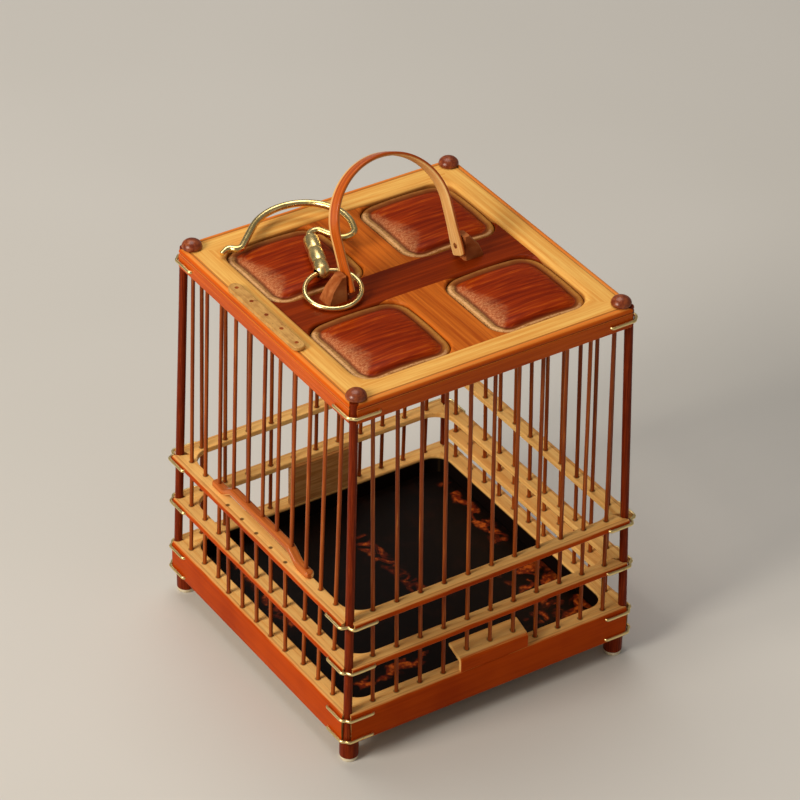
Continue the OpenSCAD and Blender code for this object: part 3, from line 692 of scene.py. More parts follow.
def floorFinish():  # black lacquer over mottled bark, amber showing through in rows
    look = floorLook
    f = Finish("floorLacquer")
    spot = f.place()
    x, y = f.split(spot)[:2]
    drift = f.cloud(spot, look["drift"])
    blotch = f.cloud(spot, look["blotches"], 2.0, 0.5, 1.2)
    core = f.cloud(spot, look["cores"], 3.0, 0.6)
    scratch = f.cloud(spot, look["scratches"], 2.0)
    rows = 0.0
    for start, end, half in look["rows"]:
        span = math.dist(start, end)
        runX = (end[0] - start[0]) / span
        runY = (end[1] - start[1]) / span
        fromX = x - start[0]
        fromY = y - start[1]
        along = fromX * runX + fromY * runY
        off = abs(fromY * runX - fromX * runY + (drift - 0.5) * look["stray"])
        past = f.most(-along, along - span)
        rows = f.most(rows, f.step(f.most(past, off), half, half * 0.35))
    show = rows * f.step(blotch, 0.44, 0.57)
    colour = f.mix(f.step(drift, 0.5, 0.75) * 0.6, look["black"], look["brown"])
    colour = f.mix(show, colour, look["red"])
    colour = f.mix(show * f.step(core + blotch, 1.02, 1.3), colour, look["amber"])
    rough = 0.36 + (scratch - 0.5) * 0.12 + show * 0.1
    bump = f.relief(scratch * 0.4 + blotch * 0.6, 0.05, 0.4)
    return f.done(colour, rough, bump, look["gloss"])


studioLook = {"pale": paint(202, 199, 193), "paler": paint(208, 205, 200), "mottle": (0.003, 0.003, 0.003)}


def studioFinish():  # the pale studio floor
    look = studioLook
    f = Finish("paleFloor")
    mottle = f.cloud(f.place(), look["mottle"])
    colour = f.mix(f.step(mottle, 0.3, 0.7), look["pale"], look["paler"])
    return f.done(colour, 0.85 + (mottle - 0.5) * 0.05)


# Shapes

class Shape:  # points, faces and the run of the grain on each face
    def __init__(self):
        self.points = []
        self.faces = []
        self.grain = []

    def loft(self, rings):  # rings of equally many points, joined in turn and closed at both ends
        first = len(self.points)
        count = len(rings[0])
        runs = [0.0]
        for before, after in zip(rings, rings[1:]):
            runs.append(runs[-1] + sum(math.dist(a, b) for a, b in zip(before, after)) / count)
        widest = max(rings, key=lambda ring: sum(math.dist(a, b) for a, b in zip(ring, ring[1:])))
        around = [0.0]
        for a, b in zip(widest, widest[1:] + widest[:1]):
            around.append(around[-1] + math.dist(a, b))
        for ring in rings:
            self.points.extend(Vector(point) for point in ring)
        for row, (low, high) in enumerate(zip(runs, runs[1:])):
            corner = first + row * count
            for k in range(count):
                nextK = (k + 1) % count
                self.faces.append((corner + k, corner + nextK, corner + count + nextK, corner + count + k))
                left, right = around[k], around[k + 1]
                self.grain.append([(low, left), (low, right), (high, right), (high, left)])
        for row in (0, len(rings) - 1):
            self.faces.append(tuple(first + row * count + k for k in range(count)))
            self.grain.append([(runs[row], around[k]) for k in range(count)])

    def tube(self, path, sizes, sides=12, roundEnds=True):  # round rod, sizes are its radius at each point
        path = [Vector(point) for point in path]
        across = (path[1] - path[0]).orthogonal().normalized()
        rings = []
        for index, point in enumerate(path):
            heading = (path[min(index + 1, len(path) - 1)] - path[max(index - 1, 0)]).normalized()
            across = (across - heading * across.dot(heading)).normalized()
            rings.append((point, heading, across, sizes[index]))
        if roundEnds:
            rings = self.dome(rings[0], -1) + rings + self.dome(rings[-1], 1)[::-1]
        self.loft([ringRound(*ring, sides) for ring in rings])

    def dome(self, end, way):  # rings that round the end of a rod, from its tip inwards
        point, heading, across, radius = end
        rings = []
        for share in (0.25, 0.6, 0.85):
            out = heading * (way * radius * 0.5 * (1 - share))
            rings.append((point + out, heading, across, radius * math.sqrt(1 - (1 - share) ** 2)))
        return rings

    def lathe(self, profile, foot, axis, sides=32):  # profile of (radius, height) turned about an axis
        axis = Vector(axis).normalized()
        across = axis.orthogonal().normalized()
        foot = Vector(foot)
        self.loft([ringRound(foot + axis * height, axis, across, size, sides) for size, height in profile])

    def slab(self, outline, low, high, roll, drop, plane=None):  # flat piece with rolled edges
        edge = [(drop * (1 - math.sin(a)), roll * (1 - math.cos(a))) for a in quarterTurns(4)]
        steps = [(low + fall, back) for fall, back in reversed(edge)]
        steps += [(high - fall, back) for fall, back in edge]
        rings = [[Vector((x, y, z)) for x, y in inset(outline, back)] for z, back in steps]
        if plane is not None:
            rings = [[plane @ point for point in ring] for ring in rings]
        self.loft(rings)


def ringRound(point, heading, across, radius, sides):
    other = heading.cross(across)
    turns = [2 * math.pi * k / sides for k in range(sides)]
    return [point + across * (radius * math.cos(a)) + other * (radius * math.sin(a)) for a in turns]


def quarterTurns(steps):
    return [math.pi / 2 * k / steps for k in range(steps + 1)]


def inset(outline, amount):  # moves the edges of an outline inward; it runs counter-clockwise
    normals = []
    for a, b in zip(outline, outline[1:] + outline[:1]):
        run = Vector(b) - Vector(a)
        normals.append(Vector((-run.y, run.x)).normalized())
    moved = []
    for k, spot in enumerate(outline):
        before, after = normals[k - 1], normals[k]
        cross = before.x * after.y - before.y * after.x
        if abs(cross) < 0.05:  # nearly straight on
            step = (before + after).normalized()
        else:
            step = Vector((after.y - before.y, before.x - after.x)) / cross
        moved.append(Vector(spot) + step * amount)
    return moved


def arc(centre, radius, start, end, steps):  # points of an arc in a plane, angles in degrees
    turns = [math.radians(start + (end - start) * k / steps) for k in range(steps + 1)]
    return [(centre[0] + radius * math.cos(a), centre[1] + radius * math.sin(a)) for a in turns]


def addPiece(name, shape, finish, stands, body="cage", turn=0, crease=40):
    mesh = bpy.data.meshes.new(name)
    mesh.from_pydata([point * mm for point in shape.points], [], shape.faces)
    layer = mesh.uv_layers.new(name="grain")
    for corner, run in enumerate(run for runs in shape.grain for run in runs):
        layer.data[corner].uv = run
    made = bmesh.new()
    made.from_mesh(mesh)
    bmesh.ops.recalc_face_normals(made, faces=made.faces)
    made.to_mesh(mesh)
    made.free()
    mesh.shade_smooth()
    mesh.set_sharp_from_angle(angle=math.radians(crease))
    mesh.materials.append(finish)
    piece = addToScene(name, mesh)
    piece.rotation_euler.z = math.radians(turn)
    even = piece.modifiers.new("evenShading", "WEIGHTED_NORMAL")
    even.keep_sharp = True
    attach(piece, body)
    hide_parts(*stands)
    return piece


# Boards and rails: a rounded section run along each side, its ends cut for the posts

stripSections = {  # width on top, roll of the two edges, bow of the outer face, inner corner radius
    "base_board": {
        "width": 5.0, "outer": 0.7, "inner": 0.4, "bow": 0.18, "corner": 5.0, "slot": "bamboo_skin",
    },
    "lower_rail": {
        "width": 4.4, "outer": 0.55, "inner": 0.3, "bow": 0.0, "corner": 6.0, "slot": "bamboo_flesh",
    },
    "upper_rail": {
        "width": 4.4, "outer": 0.6, "inner": 0.3, "bow": 0.0, "corner": 6.0, "slot": "bamboo_flesh",
    },
}
stripMesh = {"stations": 84, "bunch": 0.45, "spacing": 0.45, "wave": 0.05}


def roundedSection(low, high, look):  # closed loop of (depth from outside, height)
    most = (high - low) * 0.45
    outer = min(look["outer"], most)
    inner = min(look["inner"], most)
    width = look["width"]
    loop = arc((outer, low + outer), outer, 270, 180, 4)
    loop += arc((outer, high - outer), outer, 180, 90, 4)
    loop += arc((width - inner, high - inner), inner, 90, 0, 4)
    loop += arc((width - inner, low + inner), inner, 0, -90, 4)
    return spaced(loop, stripMesh["spacing"])


def spaced(loop, gap):  # adds points where a loop's points lie far apart
    dense = []
    for a, b in zip(loop, loop[1:] + loop[:1]):
        count = max(1, math.ceil(math.dist(a, b) / gap))
        x, y = b[0] - a[0], b[1] - a[1]
        dense.extend((a[0] + x * k / count, a[1] + y * k / count) for k in range(count))
    return dense


def stripEnd(depth, half, post):  # how far a strip reaches along its side, at a depth from its outer face
    y = half - depth
    cut = cage["postRadius"] + cage["postGap"]
    if y > post + cut:
        return post
    if y > post - cut * math.sqrt(0.5):
        return post - math.sqrt(cut * cut - (y - post) ** 2)
    return y


def roundedInside(s, depth, half, look):  # a point inside a ring of strips, whose corners are rounded
    middle = half - look["width"] - look["corner"]
    radius = look["corner"] + look["width"] - depth
    x = s * (middle + radius * math.sqrt(0.5))
    past = max(0.0, abs(x) - middle)
    return x, -middle - math.sqrt(radius * radius - past * past)


def stations():  # from -1 to 1, bunched towards the ends
    bunch = stripMesh["bunch"]
    even = [-1 + 2 * k / stripMesh["stations"] for k in range(stripMesh["stations"] + 1)]
    return [s * (1 - bunch) + bunch * math.sin(s * math.pi / 2) for s in even]


def makeStrips(kind, look, finishes):
    half = halfWidth(kind + "_front")
    for seed, (side, place) in enumerate(sides.items()):
        node = kind + "_" + side
        low, high = levels(node)
        post = leanHalf((low + high) / 2, cage["postInset"])
        section = roundedSection(low, high, look)
        rings = []
        for s in stations():
            ring = []
            for depth, z in section:
                x = s * stripEnd(depth, half, post)
                bow = look["bow"] * math.sin(math.pi * (z - low) / (high - low)) * ease(depth, 1.5, 0.0)
                wave = stripMesh["wave"] * wander((x * 0.06, depth * 0.1, z * 0.1), seed + low)
                bend = ease(depth, 2.2, look["width"] - look["inner"])
                bentX, bentY = roundedInside(s, depth, half, look)
                x += (bentX - x) * bend
                y = depth - half - bow
                y += (bentY - y) * bend + wave * (1 - abs(s))
                ring.append((x, y, z + wave * ease(high - low, 6.0, 2.0)))
            rings.append(ring)
        shape = Shape()
        shape.loft(rings)
        addPiece(kind + "." + side, shape, finishes[side], [node], turn=place["turn"])


stripFinishes = {side: stripFinish("bambooStrip_" + side, side) for side in sides}
for kind, look in stripSections.items():
    makeStrips(kind, look, stripFinishes)
print("boards and rails done")


# Top frame: a moulded section whose inner edge follows the rounded corners of the recesses

roof = {
    "inner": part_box("cross_rail_long")[1].x / mm,
    "crossHalf": 6.0,
    "recessRadius": 6.0,
    "frameRoll": 2.1,
    "crossRoll": 0.8,
    "crossFall": 0.8,
    "crossStations": 72,
    "squareUntil": 8.0,  # the long rail's edges stay square where the short rails meet it
    "rolledFrom": 13.0,
}


def frameSection():  # the outside by depth from the outer face, then the inside by distance from the recess
    top = topZ - frameZ
    drop = topZ - crossZ
    roll = roof["frameRoll"]
    outside = arc((0.4, 0.4), 0.4, 270, 180, 3)
    outside += [(0.0, 2.0), (0.0, 4.12), (0.06, 4.2), (0.22, 4.28), (0.26, 4.45), (0.22, 4.62), (0.05, 4.72)]
    outside += arc((1.15, top - 1.12), 1.12, 178, 90, 6)
    outside += [(1.35, top), (1.45, top - 0.05), (1.55, top - 0.18), (1.7, top - 0.22)]
    outside += [(1.85, top - 0.18), (1.95, top - 0.05), (2.1, top)]
    outside += [(2.8, top + 0.01), (3.6, top + 0.02), (4.6, top + 0.03)]
    inside = [(roll * (1 - math.sin(a)), top - drop * (1 - math.cos(a))) for a in quarterTurns(6)]
    inside += [(0.0, 4.2), (0.0, 3.2), (0.0, 2.2), (0.0, 1.0), (0.0, 0.2), (0.2, 0.0), (1.6, 0.0), (3.2, 0.0)]
    return outside, inside


def recessEdge(x, back):  # the recess edge along a side, moved back into the frame
    middle = roof["inner"] - roof["recessRadius"]
    radius = roof["recessRadius"] + back
    past = max(0.0, x - middle)
    return middle + math.sqrt(max(0.0, radius * radius - past * past))


def makeTopFrame(finish):
    outside, inside = frameSection()
    post = leanHalf((frameZ + topZ) / 2, cage["postInset"])
    middle = roof["inner"] - roof["recessRadius"]
    for side, place in sides.items():
        rings = []
        for s in stations():
            ring = []
            for depth, z in outside:
                ring.append((s * stripEnd(depth, topHalf, post), depth - topHalf, frameZ + z))
            for back, z in inside:
                x = s * (middle + (roof["recessRadius"] + back) * math.sqrt(0.5))
                ring.append((x, -recessEdge(abs(x), back), frameZ + z))
            rings.append(ring)
        shape = Shape()
        shape.loft(rings)
        stands = ["top_frame_" + side]
        addPiece("top_frame." + side, shape, finish, stands, turn=place["turn"])


makeTopFrame(frameFinish())


# Roof cross: rails that flare into the rounded corners of the recesses

def crossEdge(distance, back):  # half width of a rail, by distance from where its flare ends
    radius = roof["recessRadius"] + back
    past = max(0.0, roof["recessRadius"] - distance)
    return roof["crossHalf"] + roof["recessRadius"] - math.sqrt(max(0.0, radius * radius - past * past))


def makeCrossRail(name, finish, start, turn, rolled):  # a rail from start to the frame
    end = roof["inner"]
    rings = []
    for k in range(roof["crossStations"] + 1):
        along = start + (end - start) * (1 - math.cos(math.pi * k / roof["crossStations"])) / 2
        gap = min(along - start, end - along)
        half = crossEdge(gap, 0.0)
        ring = [(half, seatZ), (half, (seatZ + crossZ) / 2)]
        for a in quarterTurns(5):
            back = roof["crossRoll"] * (1 - math.cos(a)) * rolled(along)
            fall = roof["crossFall"] * (1 - math.sin(a)) * rolled(along)
            ring.append((crossEdge(gap, back), crossZ - fall))
        ring.append((ring[-1][0] * 0.4, crossZ + 0.02))
        ring += [(-x, z) for x, z in reversed(ring)]
        rings.append([turned((x, along, z), turn) for x, z in ring])
    shape = Shape()
    shape.loft(rings)
    addPiece(name.replace("_rail_", "."), shape, finish, [name])


def longRolled(along):
    return ease(abs(along), roof["squareUntil"], roof["rolledFrom"])


makeCrossRail("cross_rail_long", crossFinish("crossLong", "long"), -roof["inner"], 90, longRolled)
shortFinish = crossFinish("crossShort", "short")
for name, turn in (("cross_rail_front", 180), ("cross_rail_back", 0)):
    makeCrossRail(name, shortFinish, roof["crossHalf"], turn, lambda along: 1.0)
print("roof frame and cross done")


# Roof panels: pillows with round shoulders

panel = {
    "gap": 0.15,
    "rise": 0.4,
    "swell": 105.0,
    "profile": [  # distance in from the edge, drop below the swell: flange, groove, then the swell
        (0.0, 0.85), (0.15, 0.62), (0.4, 0.46), (0.75, 0.38), (1.1, 0.40), (1.5, 0.54),
        (1.9, 0.72), (2.2, 0.80), (2.45, 0.78), (2.7, 0.62), (3.0, 0.42), (3.4, 0.25),
        (3.9, 0.13), (4.6, 0.05), (5.6, 0.01), (6.6, 0.0),
    ],
    "rings": 6,
    "cornerSteps": 8,
    "wave": 0.06,
}


def panelHalf():
    return (roof["inner"] - roof["crossHalf"]) / 2 - panel["gap"]


def panelCorner():
    return roof["recessRadius"] - panel["gap"]


def squareRing(half, radius, points):  # rounded square about the origin
    middle = half - radius
    quarter = arc((middle, middle), radius, 0, 90, points)
    quarter += [(middle * (1 - 2 * k / points), half) for k in range(1, points)]
    return [turned((x, y, 0), 90 * corner) for corner in range(4) for x, y in quarter]


def makePanel(name, centre, finish):
    half = panelHalf()
    corner = panelCorner()
    top = topZ + panel["rise"]
    flat = panel["profile"][-1][0]
    count = panel["rings"]
    steps = panel["profile"] + [(flat + (half - flat) * k / count, 0.0) for k in range(1, count)]
    rings = [[(spot.x, spot.y, seatZ) for spot in squareRing(half, corner, panel["cornerSteps"])]]
    for depth, fall in steps:
        radius = max(corner - depth * 0.55, 0.25 * (half - depth))
        ring = []
        for spot in squareRing(half - depth, radius, panel["cornerSteps"]):
            dome = (spot.x ** 2 + spot.y ** 2) / (2 * panel["swell"])
            wave = panel["wave"] * wander((spot.x * 0.12, spot.y * 0.12, 0), sum(centre)) * ease(depth, 0, 3)
            ring.append((spot.x, spot.y, max(seatZ + 0.05, top - dome - fall + wave)))
        rings.append(ring)
    shape = Shape()
    shape.loft(rings)
    piece = addPiece("roof_panel." + name, shape, finish, ["roof_panel_" + name])
    piece.location = Vector((*centre, 0)) * mm


panelPlaces = {"front_left": (-1, -1), "front_right": (1, -1), "back_right": (1, 1), "back_left": (-1, 1)}
panelMaterial = panelFinish()
panelAt = (roof["inner"] + roof["crossHalf"]) / 2
for name, (right, back) in panelPlaces.items():
    makePanel(name, (right * panelAt, back * panelAt), panelMaterial)
print("roof panels done")


# Bars and posts

rods = {
    "steps": 16,
    "sway": 0.10,
    "guideSway": 0.02,
    "postSway": 0.05,
    "thickness": 0.05,
    "baseDepth": 4.9,
    "frameDepth": 3.3,
    "belowTip": 0.05,
}
postGrain = (3.2, 3.2, 0.10)


def rod(shape, low, high, radius, sway, seed, sides=12):  # a rod that is a little uneven, as split bamboo is
    path = []
    sizes = []
    for k in range(rods["steps"] + 1):
        share = k / rods["steps"]
        point = Vector(low).lerp(Vector(high), share)
        free = math.sin(math.pi * share)
        point.x += sway * free * wander((share * 2.0, 0, 0), seed)
        point.y += sway * free * wander((0, share * 2.0, 0), seed + 3)
        path.append(point)
        sizes.append(radius * (1 + rods["thickness"] * wander((0, 0, share * 3.0), seed)))
    shape.tube(path, sizes, sides, roundEnds=False)


def leaningBar(shape, index, side, low, high, sway, seed):  # a bar in the leaning face of a side
    x = barX(index, side)
    start, end = [(x, -leanHalf(z, cage["barInset"]), z) for z in (low, high)]
    rod(shape, start, end, cage["barRadius"], sway, seed)


def makeBars(finish):
    low = rimZ - rods["baseDepth"]
    for side, place in sides.items():
        shape = Shape()
        for index in sideBars(side):
            guide = side == "left" and index in guideBars
            sway = rods["guideSway"] if guide else rods["sway"]
            leaningBar(shape, index, side, low, frameZ + rods["frameDepth"], sway, index + place["turn"])
        addPiece("bars." + side, shape, finish, ["bars_" + side], turn=place["turn"])
    shape = Shape()
    for index in doorBars:
        start, end = [(barX(index, "left"), -belowDoor, z) for z in (low, sillZ - rods["belowTip"])]
        rod(shape, start, end, cage["barRadius"], rods["guideSway"], index + 40)
    addPiece("bars.below_door", shape, finish, ["bars_below_door"], turn=sides["left"]["turn"])


def makePosts(finish):
    shape = Shape()
    low, high = [leanHalf(z, cage["postInset"]) for z in (baseZ, topZ)]
    for place in sides.values():
        start = turned((low, -low, baseZ), place["turn"])
        end = turned((high, -high, topZ - 0.1), place["turn"])
        rod(shape, start, end, cage["postRadius"], rods["postSway"], place["turn"] + 7, sides=18)
    addPiece("corner_posts.dressed", shape, finish, ["corner_posts"])


barMaterial = barFinish("barBamboo")
darkMaterial = darkFinish("darkBamboo", "post", postGrain)
makeBars(barMaterial)
makePosts(darkMaterial)


# Turned pieces: beads, feet and their tips

bead = {"inset": 3.1, "radius": 2.75, "waist": 0.5, "height": 2.5, "grain": (0.9, 0.9, 0.9), "gloss": 0.4}
foot = {"inset": 3.2, "radius": 2.55, "tipRadius": 2.4, "tipHeight": 1.1}


def beadProfile():
    radius, waist = bead["radius"], bead["waist"]
    rise = bead["height"] - waist
    dome = [(radius * math.cos(a), waist + rise * math.sin(a)) for a in quarterTurns(12)[:-1]]
    return [(radius * 0.80, 0.0), (radius * 0.93, 0.14)] + dome + [(0.06, bead["height"])]


def makeCorners(name, profile, inset, z, finish):  # one turned piece at each corner
    shape = Shape()
    for place in sides.values():
        shape.lathe(profile, turned((inset, -inset, z), place["turn"]), (0, 0, 1))
    addPiece(name + ".dressed", shape, finish, [name])


def makeTurned():
    leg, tip, high = foot["radius"], foot["tipRadius"], foot["tipHeight"]
    tipProfile = [(tip - 0.35, 0.0), (tip - 0.1, 0.08), (tip, 0.3), (tip + 0.03, high * 0.7), (tip, high)]
    legProfile = [(leg - 0.12, high), (leg, high + 0.15)]
    legProfile += [(leg + 0.02, (high + baseZ) / 2), (leg - 0.02, baseZ)]
    beadWood = darkFinish("beadWood", "bead", bead["grain"], bead["gloss"])
    beadAt = topHalf - bead["inset"]
    footAt = baseHalf - foot["inset"]
    makeCorners("corner_beads", beadProfile(), beadAt, topZ, beadWood)
    makeCorners("feet", legProfile, footAt, 0, darkMaterial)
    makeCorners("foot_tips", tipProfile, footAt, 0, boneFinish())


makeTurned()
print("bars, posts, beads and feet done")


# Corner wires: staples bent round each post

wire = {
    "radius": 0.45,
    "leg": 6.0,
    "depth": 1.6,
    "bend": 0.6,
    "gap": 0.05,
    "margin": 1.6,
    "hug": 1.68,
    "slack": 0.10,
}
wireLevels = {  # half width of the ring that is bound, height of the wire
    "top_frame": (topHalf, (frameZ + topZ) / 2 - wire["margin"] / 2),
    "upper_rail": (upperHalf, (upperZ + sillZ) / 2),
    "lower_rail": (lowerHalf, (lowerZ + lowerTop) / 2),
    "base_upper": (baseHalf, rimZ - wire["margin"]),
    "base_lower": (baseHalf, baseZ + wire["margin"]),
}


def wirePath(half, z):  # plan of a staple at the front right corner
    post = leanHalf(z, cage["postInset"])
    off = wire["radius"] + wire["gap"]
    bend = wire["bend"]
    corner = half - post + off
    start = post - wire["leg"] - bend
    line = -half - off
    path = [(start, wire["depth"] - half)]
    path += arc((start + bend, line + bend), bend, 180, 270, 5)
    path += [(start + bend + wire["leg"] * k / 6, line) for k in range(1, 6)]
    for k in range(9):  # the wire draws in from the rail to the post as it rounds the corner
        turn = math.radians(270 + 45 * k / 8)
        pull = corner + (wire["hug"] - corner) * ease(k, 0, 8)
        path.append((post + pull * math.cos(turn), pull * math.sin(turn) - post))
    return path + [(-y, -x) for x, y in reversed(path[:-1])]


def makeWires(name, half, z, finish):
    path = wirePath(half, z)
    shape = Shape()
    for seed, place in enumerate(sides.values()):
        route = []
        for x, y in path:
            slack = wire["slack"] * wander((x * 0.3, y * 0.3, z), seed + half)
            route.append(turned((x, y, z + slack), place["turn"]))
        shape.tube(route, [wire["radius"]] * len(route), 10)
    addPiece(name + ".wires", shape, finish, [name + "_wires"])


wireBrass = brassFinish("wireBrass", 0.12, 0.30)
for name, (half, z) in wireLevels.items():
    makeWires(name, half, z, wireBrass)
print("wires done")


# Feeding ledge: a bent plate on the rim, pale above; then the plain board and strip inside the bars

ledge = {"length": 21.4, "thick": 1.2, "front": 3.7, "depth": 5.8, "climb": 2.2, "nose": 1.5, "roll": 0.3}
boardGrain = (0.08, 1.6, 1.6)


def makeLedge(finish):
    out = -baseHalf
    edge = out + ledge["depth"]
    top = rimZ + ledge["front"]
    back = top + ledge["climb"]
    thick, nose = ledge["thick"], ledge["nose"]
    bend = top + thick * (ledge["climb"] / ledge["depth"] - 1)
    outline = [(out, rimZ), (out + thick, rimZ), (out + thick, bend), (edge, back - thick)]
    outline += arc((edge - 0.1, back - thick / 2), thick / 2, -70, 110, 6)
    outline += arc((out + nose, top - nose / 2), nose, 111, 180, 8)
    middle = sides["front"]["shift"]
    half = ledge["length"] / 2
    upright = Matrix(((0, 0, 1), (1, 0, 0), (0, 1, 0)))
    shape = Shape()
    shape.slab(outline, middle - half, middle + half, ledge["roll"], ledge["roll"], upright)
    addPiece("feeding_ledge.dressed", shape, finish, ["feeding_ledge"])


def makePlate(node, side, finish):  # a flat piece the size of its solid, with rolled edges
    turn = sides[side]["turn"]
    low, high = [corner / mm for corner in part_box(node)]
    spots = [turned(corner, -turn) for corner in (low, high)]
    x0, x1 = sorted(spot.x for spot in spots)
    y0, y1 = sorted(spot.y for spot in spots)
    shape = Shape()
    shape.slab([(x0, y0), (x1, y0), (x1, y1), (x0, y1)], low.z, high.z, ledge["roll"], ledge["roll"])
    addPiece(node + ".dressed", shape, finish, [node], turn=turn)


makeLedge(stripFinishes["front"])
makePlate("feeding_board", "back", darkFinish("boardBamboo", "board", boardGrain))
makePlate("side_strip", "right", stripFinishes["right"])


# Lift door: arched foot strip, bars and the strip on top

door = {
    "width": 2.6,
    "thick": 2.0,
    "edgeRoll": 0.6,
    "rise": 2.8,
    "foot": 4.4,
    "slope": 6.0,
    "stations": 96,
    "skin": (0.6, 4.6),  # where the skin is, round the section
    "skinShare": 0.8,
    "stripWidth": 3.6,
    "stripThick": 1.3,
    "stripEnd": 2.5,
    "stripRoll": (0.4, 0.35),
    "gap": 0.05,
}
doorHalf = (guideBars[1] - guideBars[0]) / 2 * cage["barPitch"]
doorTurn = sides["left"]["turn"]
doorShift = sides["left"]["shift"]


def archRise(x):
    t = min(1.0, max(0.0, (doorHalf - door["foot"] / 2 - abs(x)) / door["slope"]))
    return door["rise"] * (1 - math.cos(math.pi * t)) / 2


def makeArch():
    span = doorHalf + door["foot"] / 2
    line = -leanHalf(sillZ + door["thick"], cage["barInset"])
    half, thick, roll = door["width"] / 2, door["thick"], door["edgeRoll"]
    section = arc((roll - half, roll), roll, 270, 180, 3) + arc((roll - half, thick - roll), roll, 180, 90, 4)
    section += arc((half - roll, thick - roll), roll, 90, 0, 4) + arc((half - roll, roll), roll, 0, -90, 3)
    rings = []
    for k in range(door["stations"] + 1):
        x = -span + 2 * span * k / door["stations"]
        size = min(1.0, 0.72 + (span - abs(x)) * 0.9)  # the ends are rounded off
        middle = sillZ + door["gap"] + archRise(x) + thick / 2
        rings.append([(x + doorShift, line + a * size, middle + (b - thick / 2) * size) for a, b in section])
    shape = Shape()
    shape.loft(rings)
    finish = bentFinish("archBamboo", *door["skin"], door["skinShare"])
    addPiece("door_arch.dressed", shape, finish, ["door_arch"], "door", doorTurn)


def makeDoorBars(finish):
    low = sillZ + door["gap"] + door["rise"] + 0.1
    high = topZ + door["stripThick"] + 0.03
    shape = Shape()
    for index in doorBars:
        leaningBar(shape, index, "left", low, high, rods["guideSway"], index + 70)
    addPiece("door_bars.dressed", shape, finish, ["door_bars"], "door", doorTurn)


def makeHandle(finish):
    radius = door["stripWidth"] / 2
    end = (len(doorBars) - 1) / 2 * cage["barPitch"] + door["stripEnd"] - radius
    line = -leanHalf(topZ, cage["barInset"])
    outline = arc((doorShift + end, line), radius, -90, 90, 12)
    outline += arc((doorShift - end, line), radius, 90, 270, 12)
    shape = Shape()
    shape.slab(outline, topZ + door["gap"], topZ + door["stripThick"], *door["stripRoll"])
    stands = ["door_handle_strip"]
    addPiece("door_handle_strip.dressed", shape, finish, stands, "door", doorTurn)


makeArch()
makeDoorBars(barMaterial)
makeHandle(handleFinish())
print("ledge and door done")


# Bail: a bent strip with nearly square ends, on pins in two carved lugs

bail = {
    "half": 16.8,
    "leg": 11.8,
    "width": 4.6,
    "endWidth": 5.4,
    "thick": 1.0,
    "edgeRoll": 0.42,
    "crown": 0.10,
    "lean": 27.0,
    "skin": (6.4, 11.4),  # where the skin is, round the section
    "skinShare": 0.9,
}
lug = {
    "gap": 0.5,
    "profile": [(6.0, 0.0), (5.95, 0.5), (4.6, 3.6), (2.2, 6.4), (1.9, 6.8)],  # length and height
    "width": 5.0,
    "topWidth": 3.4,
    "bevel": 0.45,
    "grain": (0.15, 0.5, 0.3),
    "crease": 25,
}
pin = {"radius": 0.7, "length": 4.0, "headRadius": 0.8, "headThick": 0.12, "gap": 0.05}
pivot = jointAt("bail_pivot")


def bailWidth(z):
    end = bail["endWidth"]
    if z < 0:
        return end * max(0.75, (1 - (-2 * z / end) ** 10) ** 0.1)
    return end + (bail["width"] - end) * ease(z, 0, bail["leg"] / 2)


def bailPath():  # place, direction outwards and width, from one end to the other
    heights = [-bail["endWidth"] / 2 * math.cos(a) for a in quarterTurns(9)[:-1]]
    heights += [bail["leg"] * k / 12 for k in range(12)]
    leg = [((bail["half"], z), (1, 0), bailWidth(z)) for z in heights]
    bow = []
    for k in range(49):
        a = math.pi * k / 48
        place = (bail["half"] * math.cos(a), bail["leg"] + bail["half"] * math.sin(a))
        bow.append((place, (math.cos(a), math.sin(a)), bail["width"]))
    return leg + bow + [((-x, z), (-1, 0), width) for (x, z), out, width in reversed(leg)]


def makeBail():
    tilt = Matrix.Rotation(math.radians(-bail["lean"]), 3, "X")
    rings = []
    for (x, z), out, width in bailPath():
        half, thick = width / 2, bail["thick"] / 2
        roll = min(bail["edgeRoll"], half * 0.8)
        loop = arc((half - roll, thick - roll), roll, 90, 0, 4)
        loop += arc((half - roll, roll - thick), roll, 0, -90, 4)
        loop += arc((roll - half, roll - thick), roll, 270, 180, 4)
        loop += arc((roll - half, thick - roll), roll, 180, 90, 4)
        ring = []
        for across, deep in loop:
            if deep > 0:
                deep += bail["crown"] * (1 - (across / half) ** 2)
            ring.append(pivot + tilt @ Vector((x + out[0] * deep, across, z + out[1] * deep)))
        rings.append(ring)
    shape = Shape()
    shape.loft(rings)
    finish = bentFinish("bailBamboo", *bail["skin"], bail["skinShare"])
    addPiece("bail.dressed", shape, finish, ["bail"], "bail")


def makeLugs(finish):
    inner = bail["half"] + bail["thick"] / 2 + lug["gap"]
    c = lug["bevel"]
    shape = Shape()
    for end in (1, -1):
        rings = []
        for far, height in lug["profile"]:
            share = height / lug["profile"][-1][1]
            w = (lug["width"] + (lug["topWidth"] - lug["width"]) * share) / 2
            plan = [(c, -w), (far - c, -w), (far, c - w), (far, w - c)]
            plan += [(far - c, w), (c, w), (0, w - c), (0, c - w)]
            rings.append([((inner + x) * end, pivot.y + y, crossZ + height) for x, y in plan])
        shape.loft(rings)
    addPiece("bail_lugs.dressed", shape, finish, ["bail_lugs"], crease=lug["crease"])


def makePins(finish):
    r, h, t = pin["radius"], pin["headRadius"], pin["headThick"]
    profile = [(0.05, 0.0), (h * 0.5, t * 0.1), (h * 0.85, t * 0.35), (h, t * 0.7), (h, t)]
    profile += [(r, t), (r, t + pin["length"])]
    head = bail["half"] - bail["thick"] / 2 - pin["gap"] - t
    shape = Shape()
    for end in (1, -1):
        shape.lathe(profile, (end * head, pivot.y, pivot.z), (end, 0, 0), 20)
    addPiece("bail_pins.dressed", shape, finish, ["bail_pins"])


